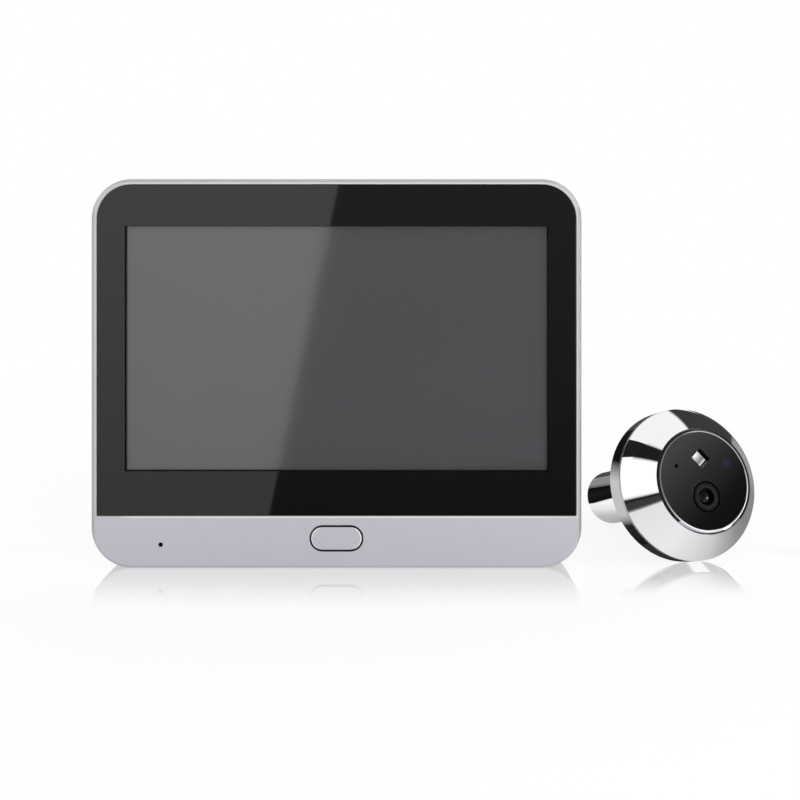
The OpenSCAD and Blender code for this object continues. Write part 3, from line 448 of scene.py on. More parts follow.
# plane that only mirrored rays see: middle and two sizes in mm, turn in degrees, and the light it gives
def stageCard(name, middle, turn, size, look, level):
    bpy.ops.object.select_all(action="DESELECT")
    tip = (0, math.radians(turn), 0)
    bpy.ops.mesh.primitive_plane_add(size=1, rotation=tip, location=Vector(middle) * mm)
    plane = bpy.context.object
    plane.name = name
    plane.scale = (size[0] * mm, size[1] * mm, 1)
    bpy.ops.object.transform_apply(location=True, rotation=True, scale=True)
    plane.visible_camera = plane.visible_diffuse = plane.visible_transmission = plane.visible_shadow = False
    glow = look.node("ShaderNodeEmission", None, {"Color": level, "Strength": 1.0})
    clear = look.node("ShaderNodeBsdfTransparent")
    backSide = look.node("ShaderNodeNewGeometry", out="Backfacing")
    shown = look.node("ShaderNodeMixShader", None, {0: backSide, 1: glow, 2: clear})
    look.tree.links.new(shown.out, look.tree.nodes["Material Output"].inputs["Surface"])
    look.material.cycles.emission_sampling = "NONE"
    plane.data.materials.append(look.material)


def makeFloorCard():
    card = floorCard
    (left, right), (front, back) = card["x"], card["y"]
    middle = ((left + right) / 2, (front + back) / 2, card["z"])
    look = Finish("floorCard")
    x, y = [axis / mm for axis in look.axes()[:2]]
    level = greyRamp(look.tree, x + card["slope"] * (y - card["start"]), card["levels"])
    stageCard("floorCard", middle, 0, (right - left, back - front), look, level)


def makeSideCard():
    card = sideCard
    (front, back), (low, high) = card["y"], card["z"]
    look = Finish("sideCard")
    tree = look.tree
    y, z = [axis / mm for axis in look.axes()[1:]]

    def above(line):
        (firstY, firstZ), (secondY, secondZ) = line
        slope = (secondZ - firstZ) / (secondY - firstY)
        return (z - firstZ - (y - firstY) * slope).ramp(-card["soft"], card["soft"])

    stripe = above(card["stripeLow"]) * (1 - above(card["stripeHigh"]))
    white = card["white"] - card["whiteFall"] * above(card["stripeHigh"])
    dome = mix(stripe, white, card["stripe"])
    rim = greyRamp(tree, z, card["rim"])
    onRim = y.ramp(*card["rimFront"]) * (1 - above(card["rimTop"]))
    barrel = greyRamp(tree, z + card["barrelSlope"] * (y - card["barrelStart"]), card["barrel"])
    onBarrel = y.ramp(*card["barrelFront"]) * (1 - above(card["barrelTop"])) * above(card["barrelLow"])
    onBarrel = onBarrel * (1 - y.ramp(*card["barrelBack"]))
    level = mix(onBarrel, mix(onRim, dome, rim), barrel)
    middle = (card["x"], (front + back) / 2, (low + high) / 2)
    stageCard("sideCard", middle, 90, (high - low, back - front), look, level)


makeStudio()
makeFloor()
makeSideCard()
makeFloorCard()
for name, settings in softboxes.items():
    makeLamp(name, **settings)
bpy.context.scene.view_settings.view_transform = "Standard"
print("studio ready")


# finishes. Painted shade: the paint is darker round the monitor's edge, most at the right: places in mm
paintedEdgeShade = {
    "side": (53.9, 54.4), "top": (86.0, 86.5), "colour": (0.43, 0.43, 0.435),
    "right": (54.2, 54.6), "rightBack": (-7.4, -6.4), "rightShadeColour": (0.30, 0.30, 0.305),
}


def silverPaint():
    look = Finish("silverPaint", (0.507, 0.507, 0.556), Metallic=0.12, Roughness=0.36)
    flakes = look.cells(9000, out="Color")
    flake = look.node("ShaderNodeSeparateColor", None, {0: flakes})
    cloud = look.noise(160, 3)
    x, y, z = [axis / mm for axis in look.axes()]
    # painted shade: the rounded edges get a darker colour, darkest at the front of the right side
    edge = abs(x).ramp(*paintedEdgeShade["side"]).call("MAXIMUM", z.ramp(*paintedEdgeShade["top"]))
    rightEdgeShade = x.ramp(*paintedEdgeShade["right"]) * (1 - y.ramp(*paintedEdgeShade["rightBack"]))
    edgeShadeColour = look.blend(rightEdgeShade, paintedEdgeShade["colour"], paintedEdgeShade["rightShadeColour"])
    look.feed("Base Color", look.blend(edge, look.shaded(0.7 * flake + 0.3 * cloud, 0.045), edgeShadeColour))
    look.roughen(cloud, 0.33, 0.07)
    look.bump(flake + 0.6 * look.noise(2600, 2), 0.000004, 0.35)
    return look.material


# bright edge with painted shade, whose grey changes from left to right: stops of (x in mm, grey)
def shadedBrightTrim(name, levels):
    look = Finish(name, Roughness=0.4, Specular_IOR_Level=0.2)
    grain = look.noise(2200, 3)
    level = greyRamp(look.tree, look.axes()[0] / mm, levels)
    look.feed("Base Color", level * (0.97 + 0.06 * grain))
    look.roughen(grain, 0.36, 0.08)
    return look.material


# clear part of the glass
screenBox = {"width": 94.9 * mm, "low": 21.65 * mm, "height": 54.95 * mm, "soft": 0.06 * mm}
screenBox["middle"] = screenBox["low"] + screenBox["height"] / 2


def coverGlass():
    look = Finish("coverGlass", (0.0028, 0.0029, 0.0032), Roughness=0.02, IOR=1.52)
    x, z = look.axes()[::2]

    def within(offset, size):
        return 1 - abs(offset).ramp(size / 2 - screenBox["soft"], size / 2 + screenBox["soft"])

    clear = within(x, screenBox["width"]) * within(z - screenBox["middle"], screenBox["height"])
    look.feed("Alpha", 1 - clear)
    smudge = look.noise(45, 4, 0.6)
    look.roughen(smudge, 0.012, 0.02)
    look.feed("Base Color", look.blend(smudge, (0.0024, 0.0025, 0.0028), (0.0032, 0.0033, 0.0037)))
    return look.material


def displayPanel():
    look = Finish("displayPanel", (0.0583, 0.0591, 0.0636), Roughness=0.06, IOR=1.6, Specular_IOR_Level=0.80)
    z = look.axes()[2]
    rise = ((z - screenBox["low"]) / screenBox["height"]).ramp(0, 1)
    haze = look.noise(30, 2)
    grain = look.noise(5200, 2)
    # painted shade: the panel is darker towards its top
    look.feed("Base Color", look.shaded(0.75 * (1 - rise) + 0.15 * haze + 0.1 * grain, 0.09))
    look.roughen(haze, 0.045, 0.02)
    return look.material


def chromePlate():
    look = Finish("chromePlate", (0.93, 0.935, 0.95), Metallic=1.0, Roughness=0.03)
    wipe = look.noise(900, 4, 0.65, (1, 1, 0.12))
    look.roughen(wipe, 0.018, 0.03)
    look.feed("Base Color", look.shaded(look.noise(70, 2), 0.015))
    return look.material


# painted shade: dark end of the satin edge, at one o'clock of the head
satinPaintedShade = {"clock": 30, "span": (12.0, 14.5), "colour": (0.05, 0.05, 0.052)}


def satinMetal():
    look = Finish("satinMetal", (0.58, 0.58, 0.59), Metallic=1.0, Roughness=0.42)
    grain = look.noise(1500, 3)
    look.roughen(grain, 0.36, 0.14)
    turn = math.radians(satinPaintedShade["clock"])
    outward = unitRight * math.sin(turn) + unitUp * math.cos(turn)
    # painted shade on the satin edge, darkest towards one o'clock
    upper = (look.along(outward, unitOrigin) / mm).ramp(*satinPaintedShade["span"])
    look.feed("Base Color", look.blend(upper, look.shaded(grain, 0.05), satinPaintedShade["colour"]))
    return look.material


# places on the window in mm, and where their tints and painted shades begin and end
infraredSpot = {"x": 6.4, "y": 3.6, "radius": 1.25, "fade": (0.25, 1.3)}
lampSpot = {"up": 4.9, "turn": -50, "paintedShade": (-1.3, 0.9), "paintedShadeEnd": (0.98, 1.06)}
lensSpot = {"up": -3.5, "faceInner": (1.85, 2.05), "faceOuter": (2.52, 2.82), "pupilShade": (0.35, 0.75)}


def blackWindow():
    look = Finish("blackWindow", (0.006, 0.006, 0.0065), Roughness=0.05, IOR=1.5)
    reach = look.fromAxis(infraredSpot["x"], infraredSpot["y"]) / infraredSpot["radius"]
    violet = 1 - reach.ramp(*infraredSpot["fade"])
    haze = look.noise(160, 3)
    ground = look.blend(haze, (0.0036, 0.0036, 0.0040), (0.0042, 0.0042, 0.0047))
    look.feed("Base Color", look.blend(violet, ground, (0.012, 0.010, 0.028)))
    look.roughen(haze, 0.03, 0.02)
    return look.material


def blackPlastic():
    look = Finish("blackPlastic", (0.012, 0.012, 0.013), Roughness=0.42)
    grain = look.noise(3200, 2)
    look.grained(grain, 0.18, 0.36, 0.14)
    look.bump(grain, 0.000012, 0.5)
    return look.material


# face of the lens barrel, with painted shade: a blacked mouth and a black ring round it
def lensBlack():
    look = Finish("lensBlack", (0.013, 0.013, 0.014), Roughness=0.45, Specular_IOR_Level=0.06)
    reach = look.fromAxis(0, lensSpot["up"])
    face = reach.ramp(*lensSpot["faceInner"]) * (1 - reach.ramp(*lensSpot["faceOuter"]))
    grain = look.noise(3200, 2)
    # painted shade: near black inside the mouth and round the face
    look.feed("Base Color", look.blend(face, (0.0012, 0.0012, 0.0013), look.shaded(grain, 0.15)))
    look.roughen(grain, 0.4, 0.1)
    return look.material


def lensOptic():
    look = Finish("lensOptic", (0.002, 0.002, 0.003), Roughness=0.02, IOR=1.36)
    # painted shade: the middle of the lens is darker, for its dark inside
    pupilShade = 1 - look.fromAxis(0, lensSpot["up"]).ramp(*lensSpot["pupilShade"])
    look.feed("Base Color", look.blend(pupilShade, (0.0032, 0.003, 0.0045), (0.001, 0.001, 0.0012)))
    look.roughen(look.noise(800, 2), 0.012, 0.02)
    return look.material


def lampWhite():
    look = Finish("lampWhite", (0.82, 0.82, 0.82), Roughness=0.25)
    grain = look.noise(2800, 3)
    turn = math.radians(lampSpot["turn"])
    lengthwise = unitRight * math.cos(turn) + unitUp * math.sin(turn)
    length = look.along(lengthwise, unitPoint(0, lampSpot["up"], 0)) / mm
    # painted shade: the lamp greys along its length and stays light at its far end
    paintedShade = length.ramp(*lampSpot["paintedShade"]) * (1 - length.ramp(*lampSpot["paintedShadeEnd"]))
    look.feed("Base Color", look.blend(paintedShade, look.shaded(grain, 0.05), (0.25, 0.25, 0.255)))
    look.roughen(grain, 0.2, 0.15)
    return look.material


def infraredResin():
    look = Finish("infraredResin", (0.02, 0.014, 0.05), Roughness=0.15)
    look.grained(look.noise(900, 2), 0.2, 0.1, 0.1)
    return look.material


def circuitBoard():
    look = Finish("circuitBoard", (0.012, 0.085, 0.035), Roughness=0.3)
    tracks = look.cells(520, "DISTANCE_TO_EDGE")
    copper = 1 - tracks.ramp(0.03, 0.06)
    weave = look.noise(1800, 2)
    mask = look.blend(weave, (0.010, 0.075, 0.030), (0.014, 0.092, 0.040))
    look.feed("Base Color", look.blend(copper * 0.6, mask, (0.05, 0.19, 0.07)))
    look.roughen(weave, 0.24, 0.12)
    look.bump(copper, 0.00003, 0.5)
    return look.material


def chipResin():
    look = Finish("chipResin", (0.014, 0.014, 0.015), Roughness=0.5)
    look.grained(look.noise(2600, 3), 0.25, 0.42, 0.18)
    return look.material


def ivoryPlastic():
    look = Finish("ivoryPlastic", (0.70, 0.64, 0.48), Roughness=0.4)
    look.grained(look.noise(600, 3, 0.5, (1, 1, 4)), 0.06, 0.34, 0.14)
    return look.material


def batteryFoil():
    look = Finish("batteryFoil", (0.52, 0.53, 0.55), Metallic=0.9, Roughness=0.35)
    crease = look.cells(140, "DISTANCE_TO_EDGE")
    look.feed("Base Color", look.shaded(look.noise(300, 3), 0.06))
    look.roughen(look.noise(220, 3), 0.28, 0.2)
    look.bump(crease.ramp(0, 0.2), 0.00008, 0.4)
    return look.material


def speakerBlack():
    look = Finish("speakerBlack", (0.022, 0.022, 0.024), Roughness=0.6)
    felt = look.noise(4200, 3)
    look.grained(felt, 0.3, 0.55, 0.2)
    look.bump(felt, 0.00003, 0.6)
    return look.material


def bootRubber():
    look = Finish("bootRubber", (0.016, 0.016, 0.016), Roughness=0.7)
    grain = look.noise(3000, 2)
    look.grained(grain, 0.2, 0.62, 0.2)
    look.bump(grain, 0.00002, 0.5)
    return look.material


def screwSteel():
    look = Finish("screwSteel", (0.36, 0.36, 0.37), Metallic=1.0, Roughness=0.3)
    look.grained(look.noise(2600, 3), 0.12, 0.24, 0.16)
    return look.material


def sheetSteel():
    look = Finish("sheetSteel", (0.62, 0.62, 0.63), Metallic=1.0, Roughness=0.28)
    look.grained(look.noise(700, 4, 0.6, (0.06, 1, 1)), 0.07, 0.2, 0.2)
    return look.material


def adhesiveTape():
    look = Finish("adhesiveTape", (0.70, 0.70, 0.68), Roughness=0.6)
    look.grained(look.noise(1500, 4, 0.6, (1, 1, 0.2)), 0.06, 0.5, 0.2)
    return look.material


def sealFoam():
    look = Finish("sealFoam", (0.028, 0.028, 0.03), Roughness=0.85)
    pores = look.cells(2400)
    look.grained(pores, 0.35, 0.75, 0.2)
    look.bump(pores, 0.00012, 0.7)
    return look.material


looks = {
    "silver_paint": silverPaint(), "cover_glass": coverGlass(), "tape": adhesiveTape(), "foam": sealFoam(),
    "display": displayPanel(), "sheet_steel": sheetSteel(), "black_plastic": blackPlastic(),
    "circuit_board": circuitBoard(), "chip_resin": chipResin(), "ivory_plastic": ivoryPlastic(),
    "battery_foil": batteryFoil(), "speaker_black": speakerBlack(), "boot_rubber": bootRubber(),
    "screw_steel": screwSteel(), "chrome_plate": chromePlate(), "black_window": blackWindow(),
    "lens_optic": lensOptic(), "lamp_white": lampWhite(), "infrared_resin": infraredResin(),
}
slotOf = {part["node"]: part["material_slot"] for part in record["subparts"]}
for name, node in nodes.items():
    node.data.materials.clear()
    node.data.materials.append(looks[slotOf[name]])
print("finishes ready:", len(looks))


# modelling helpers. Points nearer than the weld are joined, faces that bend less than the flat angle too
meshing = {"weld": 0.002 * mm, "flatAngle": 0.6, "softAngle": 32, "normalWeight": 80}


def onlySelect(piece):
    bpy.ops.object.select_all(action="DESELECT")
    piece.select_set(True)
    bpy.context.view_layer.objects.active = piece


def applyModifier(piece, kind, **settings):
    onlySelect(piece)
    modifier = piece.modifiers.new(kind.lower(), kind)
    for key, value in settings.items():
        setattr(modifier, key, value)
    bpy.ops.object.modifier_apply(modifier=modifier.name)


def softenEdges(piece, width, segments=2, angle=meshing["softAngle"]):
    applyModifier(
        piece, "BEVEL", width=width * mm, segments=segments, limit_method="ANGLE",
        angle_limit=math.radians(angle), use_clamp_overlap=False, harden_normals=False,
    )
    smooth(piece, angle)


def smooth(piece, angle):
    onlySelect(piece)
    bpy.ops.object.shade_smooth_by_angle(angle=math.radians(angle))
    applyModifier(piece, "WEIGHTED_NORMAL", keep_sharp=True, weight=meshing["normalWeight"])


def tidyMesh(piece):
    onlySelect(piece)
    bpy.ops.object.mode_set(mode="EDIT")
    bpy.ops.mesh.select_all(action="SELECT")
    bpy.ops.mesh.remove_doubles(threshold=meshing["weld"])
    bpy.ops.mesh.normals_make_consistent(inside=False)
    bpy.ops.object.mode_set(mode="OBJECT")


# a piece takes its finish, its slot and the body it rides on from the first node that it stands for
def finishPiece(piece, *replaced, look=None):
    slot = slotOf[replaced[0]]
    piece.data.materials.clear()
    piece.data.materials.append(look or looks[slot])
    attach(piece, bodyOf[replaced[0]])
    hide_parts(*replaced)
    return piece


# copy of a CAD node with its triangles joined into faces and its edges softened
def dressNode(name, nodeName, width, angle):
    piece = bpy.data.objects.new(name, nodes[nodeName].data.copy())
    bpy.context.scene.collection.objects.link(piece)
    onlySelect(piece)
    bpy.ops.object.mode_set(mode="EDIT")
    bpy.ops.mesh.select_all(action="SELECT")
    bpy.ops.mesh.remove_doubles(threshold=meshing["weld"])
    bpy.ops.mesh.dissolve_limited(angle_limit=math.radians(meshing["flatAngle"]))
    bpy.ops.object.mode_set(mode="OBJECT")
    softenEdges(piece, width, angle=angle)
    return piece


# points of an arc in a turned section: centre, radius, start and end in degrees
def arc(centreR, centreZ, radius, start, end, steps):
    points = []
    for i in range(steps + 1):
        a = math.radians(start + (end - start) * i / steps)
        points.append((centreR + radius * math.cos(a), centreZ + radius * math.sin(a)))
    return points


# turned piece: a ring is extruded and resized from station to station, (radius, height) in mm.
# A piece that isn't closed ends in a point on its axis.
def turnPiece(name, stations, around, closed=True, centre=(0, 0)):
    bpy.ops.object.select_all(action="DESELECT")
    radius, height = stations[0]
    spot = (centre[0] * mm, centre[1] * mm, height * mm)
    bpy.ops.mesh.primitive_circle_add(vertices=around, radius=radius * mm, location=spot)
    piece = bpy.context.object
    piece.name = name
    bpy.ops.object.transform_apply(location=True, rotation=True, scale=True)
    bpy.ops.object.mode_set(mode="EDIT")
    bpy.ops.mesh.select_mode(type="EDGE")
    bpy.ops.mesh.select_all(action="SELECT")
    for nextRadius, nextHeight in stations[1:]:
        rise = (0, 0, (nextHeight - height) * mm)
        bpy.ops.mesh.extrude_region_move(TRANSFORM_OT_translate={"value": rise})
        share = nextRadius / radius
        middle = (centre[0] * mm, centre[1] * mm, nextHeight * mm)
        bpy.ops.transform.resize(value=(share, share, 1), center_override=middle)
        radius, height = nextRadius, nextHeight
    if not closed:
        bpy.ops.mesh.merge(type="CENTER")
    bpy.ops.object.mode_set(mode="OBJECT")
    return piece


# a piece drawn along the unit's axis goes to its place in the frame
def layDown(piece):
    piece.matrix_world = unitMatrix
    onlySelect(piece)
    bpy.ops.object.transform_apply(location=True, rotation=True, scale=True)
    tidyMesh(piece)


# camera head: bright bezel, turned
head = {
    "rimR": 17.1, "rimW": 5.1, "domeH": 7.0, "bulge": 0.55, "lipR": 11.25, "innerR": 15.3, "edgeR": 0.3,
    "windowR": 10.75, "seatR": 9.6, "windowBack": 10.55, "seatBack": 9.35, "coneR": 11.95,
    "rimEdge": (0.11, 0.65), "grooveR": 0.46, "groove": (0.38, 0.08, 0.8), "lipWall": (-0.18, 0.09),
    "lipTop": (0.04, 0.1), "brightLip": (4.6, 7.4), "domeStart": 0.2, "domeSteps": 30, "edgeSteps": 6,
    "around": 256, "sharpAngle": 9, "rimBand": 0.2, "rimSlope": (0.1, 0.3),
    "wallBand": 0.3, "wallSlope": (0.25, 0.45), "floorSlope": 0.99,
}


def headSection():
    h = head
    front = h["rimW"] + h["domeH"]
    chord = math.hypot(h["rimR"] - h["lipR"], h["domeH"])
    bulgeR = (chord ** 2 / 4 + h["bulge"] ** 2) / (2 * h["bulge"])
    middle = Vector((h["rimR"] + h["lipR"], 2 * h["rimW"] + h["domeH"])) / 2
    out = Vector((h["domeH"], h["rimR"] - h["lipR"])) / chord
    centre = middle - out * (bulgeR - h["bulge"])

    def angleOf(r, z):
        return math.degrees(math.atan2(z - centre.y, r - centre.x))

    domeLow = angleOf(h["rimR"], h["rimW"]) + h["domeStart"]
    grooveZ = centre.y + math.sqrt(bulgeR ** 2 - (h["lipR"] + h["grooveR"] - centre.x) ** 2)
    domeHigh = angleOf(h["lipR"] + h["grooveR"], grooveZ)
    dome = arc(centre.x, centre.y, bulgeR, domeLow, domeHigh, h["domeSteps"])
    edgeIn, edgeBack = h["rimEdge"]
    rim = arc(h["rimR"] - h["edgeR"], h["edgeR"], h["edgeR"], -90, 0, h["edgeSteps"])
    rim += [(h["rimR"], h["rimW"] - edgeBack), (h["rimR"] - edgeIn, h["rimW"])]
    outerFoot, innerFoot, footDown = h["groove"]
    wallR, wallDown = h["lipWall"]
    topIn, topDown = h["lipTop"]
    lip = [
        (h["lipR"] + outerFoot, front - footDown), (h["lipR"] + innerFoot, front - footDown),
        (h["lipR"] + wallR, front - wallDown), (h["windowR"] + topIn, front), (h["windowR"], front - topDown),
    ]
    inside = [
        (h["windowR"], h["windowBack"]), (h["seatR"], h["windowBack"]), (h["seatR"], h["seatBack"]),
        (h["coneR"], h["seatBack"]), (h["innerR"], h["rimW"]), (h["innerR"], 0.0),
    ]
    return rim + dome + lip + inside + [rim[0]]


headPiece = turnPiece("headBezel", headSection(), head["around"])
layDown(headPiece)
smooth(headPiece, head["sharpAngle"])
finishPiece(headPiece, "head_shell")


# some faces of a piece take a second finish
def finishFaces(piece, look, wanted):
    piece.data.materials.append(look)
    for face in piece.data.polygons:
        if wanted(face):
            face.material_index = len(piece.data.materials) - 1


def axisReach(face):
    offset = face.center - unitOrigin
    return (offset - unitFront * offset.dot(unitFront)).length / mm


# place on the clock face that looks along the head's axis
def clockHour(face):
    offset = face.center - unitOrigin
    return math.degrees(math.atan2(offset.dot(unitRight), offset.dot(unitUp))) / 30 % 12


# painted shade: outside the bright span of hours the lip wall and the groove floor take the black finish
def onShadedLip(face):
    start, end = head["brightLip"]
    return not start < clockHour(face) < end


def onRimEdge(face):
    low, high = head["rimSlope"]
    return axisReach(face) > head["rimR"] - head["rimBand"] and low < face.normal.dot(unitFront) < high


def onLipWall(face):
    low, high = head["wallSlope"]
    nearLip = abs(axisReach(face) - head["lipR"]) < head["wallBand"]
    return nearLip and low < face.normal.dot(unitFront) < high and onShadedLip(face)


def inGroove(face):
    besideLip = head["lipR"] < axisReach(face) < head["lipR"] + head["grooveR"]
    return besideLip and face.normal.dot(unitFront) > head["floorSlope"] and onShadedLip(face)


finishFaces(headPiece, satinMetal(), onRimEdge)
# painted shade on the lip wall and the groove floor
finishFaces(headPiece, looks["black_plastic"], onLipWall)
finishFaces(headPiece, looks["black_plastic"], inGroove)

# barrel: tube with a rounded end, a shoulder and a spigot
tube = {
    "outerR": 6.6, "boreR": 5.3, "spigotR": 6.1, "length": 33.8, "shoulder": 0.8, "front": 2.4, "edgeR": 0.3,
    "edgeSteps": 6, "mouth": 0.2, "around": 160, "sharpAngle": 24,
}


def barrelSection():
    t = tube
    end = arc(t["outerR"] - t["edgeR"], t["edgeR"] - t["length"], t["edgeR"], -90, 0, t["edgeSteps"])
    mouth = [(t["boreR"], t["mouth"] - t["length"]), (t["boreR"] + t["mouth"], -t["length"])]
    front = [
        (t["outerR"], t["shoulder"]), (t["spigotR"], t["shoulder"]), (t["spigotR"], t["front"]),
        (t["boreR"], t["front"]),
    ]
    return mouth + end + front + [mouth[0]]


barrelPiece = turnPiece("barrelTube", barrelSection(), tube["around"])
layDown(barrelPiece)
smooth(barrelPiece, tube["sharpAngle"])
finishPiece(barrelPiece, "barrel")

# front window: disc with a soft edge, cut for the lens, the lamp and the microphone
window = {
    "radius": 10.7, "back": 10.55, "front": 11.95, "edge": 0.06, "edgeSteps": 3, "cutDepth": 4, "around": 192,
    "lensR": 3.5, "lensAround": 128, "mic": (-6.4, 3.6), "micR": 0.45, "micAround": 48,
    "lamp": (3.2, 2.85), "lampGap": 0.35,
}
window["middle"] = (window["back"] + window["front"]) / 2


def cutFrom(piece, cutter):
    applyModifier(piece, "BOOLEAN", operation="DIFFERENCE", object=cutter, solver="EXACT")
    bpy.data.objects.remove(cutter)


# disc along the unit's axis, half before and half behind the window's middle
def roundDisc(radius, x, y, depth, around):
    bpy.ops.object.select_all(action="DESELECT")
    spot = Vector((x, y, window["middle"])) * mm
    bpy.ops.mesh.primitive_cylinder_add(vertices=around, radius=radius * mm, depth=depth * mm, location=spot)
    return bpy.context.object


# box for the lamp's opening, with room at the upper right of the lamp
def lampCutter():
    length, width = window["lamp"]
    gap = window["lampGap"]
    turn = math.radians(lampSpot["turn"])
    spot = Vector((0, lampSpot["up"], window["middle"]))
    spot += Vector((-math.sin(turn), math.cos(turn), 0)) * gap / 2
    size = Vector((length, width + gap, window["cutDepth"]))
    bpy.ops.object.select_all(action="DESELECT")
    bpy.ops.mesh.primitive_cube_add(size=1, location=spot * mm, rotation=(0, 0, turn), scale=size * mm)
    return bpy.context.object


def makeWindow():
    w = window
    piece = roundDisc(w["radius"], 0, 0, w["front"] - w["back"], w["around"])
    piece.name = "frontWindow"
    cutFrom(piece, roundDisc(w["lensR"], 0, lensSpot["up"], w["cutDepth"], w["lensAround"]))
    cutFrom(piece, roundDisc(w["micR"], *w["mic"], w["cutDepth"], w["micAround"]))
    cutFrom(piece, lampCutter())
    softenEdges(piece, w["edge"], w["edgeSteps"])
    onlySelect(piece)
    bpy.ops.object.transform_apply(location=True, rotation=True, scale=True)
    piece.matrix_world = unitMatrix
    bpy.ops.object.transform_apply(location=True, rotation=True, scale=True)
    return piece


finishPiece(makeWindow(), "front_window")

# lens barrel: stepped mouth, turned
lens = {
    "outerR": 3.2, "top": 11.9, "mouthR": 1.9, "seatR": 1.55, "seat": 10.5, "back": 9.05,
    "throatR": 1.1, "roomR": 2.646, "roomTop": 9.85, "edge": 0.1, "mouthEdge": (0.08, 0.07),
    "steps": 3, "stepEdge": (0.02, 0.015), "glassRim": 0.5, "around": 96, "sharpAngle": 30,
}


def lensBarrelSection():
    b = lens
    outer = [
        (b["outerR"], b["back"]), (b["outerR"], b["top"] - b["edge"]), (b["outerR"] - b["edge"], b["top"]),
    ]
    edgeOut, edgeDown = b["mouthEdge"]
    mouthTop = b["top"] - edgeDown
    mouth = [(b["mouthR"] + edgeOut, b["top"]), (b["mouthR"], mouthTop)]
    stepR = (b["mouthR"] - b["seatR"]) / b["steps"]
    stepH = (mouthTop - b["seat"] - b["glassRim"]) / b["steps"]
    slant, fall = b["stepEdge"]
    for i in range(b["steps"]):
        r, z = b["mouthR"] - stepR * i, mouthTop - stepH * (i + 1)
        mouth += [(r - slant, z), (r - stepR + slant, z - fall)]
    throat = [
        (b["seatR"], b["seat"]), (b["throatR"], b["seat"]), (b["throatR"], b["roomTop"]),
        (b["roomR"], b["roomTop"]), (b["roomR"], b["back"]),
    ]
    return outer + mouth + throat + [outer[0]]


lensPiece = turnPiece("lensBarrel", lensBarrelSection(), lens["around"], centre=(0, lensSpot["up"]))
layDown(lensPiece)
smooth(lensPiece, lens["sharpAngle"])
finishPiece(lensPiece, "lens_barrel", look=lensBlack())

# front lens: a disc with a round crown
optic = {
    "radius": 1.5, "seat": lens["seat"], "rim": lens["glassRim"], "rise": 0.6, "poleR": 0.02, "crownEnd": 88,
    "crownSteps": 14, "around": 96, "sharpAngle": 40,
}


def lensGlassSection():
    o = optic
    crownR = (o["radius"] ** 2 + o["rise"] ** 2) / (2 * o["rise"])
    centreZ = o["seat"] + o["rim"] + o["rise"] - crownR
    start = math.degrees(math.asin((o["seat"] + o["rim"] - centreZ) / crownR))
    crown = arc(0, centreZ, crownR, start, o["crownEnd"], o["crownSteps"])
    return [(o["poleR"], o["seat"]), (o["radius"], o["seat"])] + crown


opticPiece = turnPiece("frontLens", lensGlassSection(), optic["around"], False, (0, lensSpot["up"]))
onlySelect(opticPiece)
bpy.ops.object.mode_set(mode="EDIT")
bpy.ops.mesh.select_all(action="SELECT")
bpy.ops.mesh.fill_holes(sides=0)
bpy.ops.object.mode_set(mode="OBJECT")
layDown(opticPiece)
smooth(opticPiece, optic["sharpAngle"])
finishPiece(opticPiece, "lens_glass")
print("camera unit modelled")

# monitor pieces and the rest of what shows: node, width of the softened edge, least angle that is softened
dressed = {
    "frontHousing": ("front_housing", 0.12, 50), "rearCover": ("rear_cover", 0.12, 32),
    "viewButton": ("view_button", 0.32, 32), "coverGlass": ("cover_glass", 0.08, 32),
    "displayCell": ("display_cell", 0.05, 32), "switchKnob": ("switch_knob", 0.06, 32),
    "chargingPort": ("usb_port", 0.05, 32), "cardSlot": ("card_slot", 0.05, 32),
    "ribbonSocket": ("ribbon_socket", 0.06, 32), "caseScrews": ("case_screws", 0.08, 32),
    "flangeScrews": ("flange_screws", 0.05, 32), "flangePlate": ("flange_plate", 0.08, 32),
    "doorGasket": ("door_gasket", 0.1, 32), "whiteLamp": ("lamp", 0.08, 32),
    "speakerUnit": ("speaker", 0.1, 32),
}
pieces = {}
for name, (nodeName, width, angle) in dressed.items():
    pieces[name] = finishPiece(dressNode(name, nodeName, width, angle), nodeName)
print("nodes dressed:", len(dressed))

# bright chamfer round the glass, with painted shade from left to right, and painted highlights on the ends of
# the button's edge
trim = {
    "levels": [(-55, 0.53), (-49.5, 0.53), (-46, 0.70), (46, 0.70), (49.5, 0.62), (55, 0.62)],
    "buttonHighlightLevels": [(-10, 0.94), (10, 0.94)], "slope": (0.5, 0.9), "depth": 0.36 * mm, "gap": 0.5 * mm,
    "endTurn": 0.25, "endSlope": (0.15, 0.97), "wallSlope": 0.3,
    "front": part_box("front_housing")[0].y, "middle": sum(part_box("cover_glass"), Vector()) / 2,
    "button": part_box("view_button"),
}


def onChamfer(face):
    inward = trim["middle"] - face.center
    inward.y = 0
    sloped = trim["slope"][0] < -face.normal.y < trim["slope"][1]
    return sloped and face.normal.dot(inward) > 0 and face.center.y < trim["front"] + trim["depth"]


# painted highlight: faces at the button's ends that take the bright finish
def onButtonEndHighlight(face):
    low, high = trim["endSlope"]
    return abs(face.normal.x) > trim["endTurn"] and low < -face.normal.y < high


# painted shade: walls of the gap round the button, which take the black finish
def inShadedButtonGap(face):
    low, high = trim["button"]
    spread = max(low.x - face.center.x, face.center.x - high.x, low.z - face.center.z, face.center.z - high.z)
    return spread < trim["gap"] and abs(face.normal.y) < trim["wallSlope"]


# dust mesh in the microphone hole
micMesh = {
    "x": -39.4, "z": 5.25, "front": -7.45, "radius": 0.48, "thick": 0.14, "rim": 0.1, "sink": 0.04,
    "edge": 0.015, "around": 48, "facing": 0.9, "holeGap": 0.1, "threads": 40000,
}


# painted shade: walls of the microphone hole, which take the black finish
def inShadedMicHole(face):
    reach = math.hypot(face.center.x / mm - micMesh["x"], face.center.z / mm - micMesh["z"])
    return reach < micMesh["radius"] + micMesh["holeGap"] and abs(face.normal.y) < trim["wallSlope"]


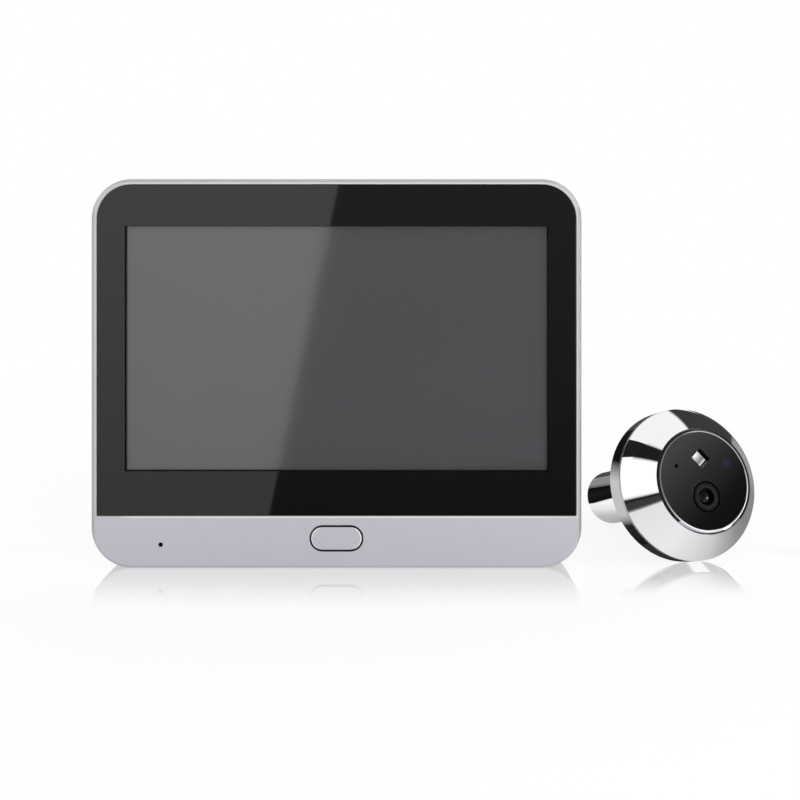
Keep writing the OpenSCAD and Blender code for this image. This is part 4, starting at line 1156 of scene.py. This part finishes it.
def meshBlack():
    look = Finish("meshBlack", (0.0025, 0.0025, 0.0028), Roughness=0.6, Specular_IOR_Level=0.1)
    across, upright = [(axis * micMesh["threads"]).call("SINE") for axis in look.axes()[::2]]
    weave = abs(across * upright)
    look.feed("Base Color", look.shaded(weave, 0.6))
    look.bump(weave, 0.00002, 0.6)
    return look.material


def makeMicMesh():
    m = micMesh
    spot = Vector((m["x"], m["front"] + m["thick"] / 2, m["z"])) * mm
    bpy.ops.object.select_all(action="DESELECT")
    bpy.ops.mesh.primitive_cylinder_add(
        vertices=m["around"], radius=m["radius"] * mm, depth=m["thick"] * mm,
        rotation=(math.radians(90), 0, 0), location=spot,
    )
    piece = bpy.context.object
    piece.name = "microphoneMesh"
    bpy.ops.object.transform_apply(location=True, rotation=True, scale=True)
    for face in piece.data.polygons:
        face.select = -face.normal.y > m["facing"]
    bpy.ops.object.mode_set(mode="EDIT")
    bpy.ops.mesh.select_mode(type="FACE")
    bpy.ops.mesh.inset(thickness=m["rim"] * mm)
    bpy.ops.transform.translate(value=(0, m["sink"] * mm, 0))
    bpy.ops.object.mode_set(mode="OBJECT")
    softenEdges(piece, m["edge"])
    piece.data.materials.append(meshBlack())
    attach(piece, "monitor")


makeMicMesh()
# real bright chamfer round the glass, with painted shade from left to right
finishFaces(pieces["frontHousing"], shadedBrightTrim("shadedBrightTrim", trim["levels"]), onChamfer)
# painted shade in the microphone hole
finishFaces(pieces["frontHousing"], looks["black_plastic"], inShadedMicHole)
# painted shade in the gap round the button
finishFaces(pieces["frontHousing"], looks["black_plastic"], inShadedButtonGap)
# painted highlights on the ends of the button's edge
finishFaces(pieces["viewButton"], shadedBrightTrim("buttonEdgeHighlight", trim["buttonHighlightLevels"]), onButtonEndHighlight)
# painted shade on the button's walls in the gap
finishFaces(pieces["viewButton"], looks["black_plastic"], inShadedButtonGap)


# sunk phosphor of the lamp
lampFace = {"frame": 0.22, "depth": 0.2, "facing": 0.999}


def sinkLamp(piece):
    for face in piece.data.polygons:
        face.select = face.normal.dot(unitFront) > lampFace["facing"]
    onlySelect(piece)
    bpy.ops.object.mode_set(mode="EDIT")
    bpy.ops.mesh.select_mode(type="FACE")
    bpy.ops.mesh.inset(thickness=lampFace["frame"] * mm)
    bpy.ops.transform.translate(value=unitBack * lampFace["depth"] * mm)
    bpy.ops.object.mode_set(mode="OBJECT")


sinkLamp(pieces["whiteLamp"])

# polariser film bonded to the back of the glass, a little larger than the clear part of the glass
film = {"overlap": 0.35 * mm, "thick": 0.12 * mm, "gap": 0.03 * mm, "edge": 0.02}


def makeFilm():
    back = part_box("cover_glass")[1].y
    spot = (0, back + film["gap"] + film["thick"] / 2, screenBox["middle"])
    width, height = [screenBox[key] + 2 * film["overlap"] for key in ("width", "height")]
    bpy.ops.object.select_all(action="DESELECT")
    bpy.ops.mesh.primitive_cube_add(size=1, location=spot, scale=(width, film["thick"], height))
    piece = bpy.context.object
    piece.name = "polariserFilm"
    bpy.ops.object.transform_apply(location=True, rotation=True, scale=True)
    softenEdges(piece, film["edge"])
    piece.data.materials.append(looks["display"])
    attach(piece, "monitor")


makeFilm()
print("monitor trimmed")
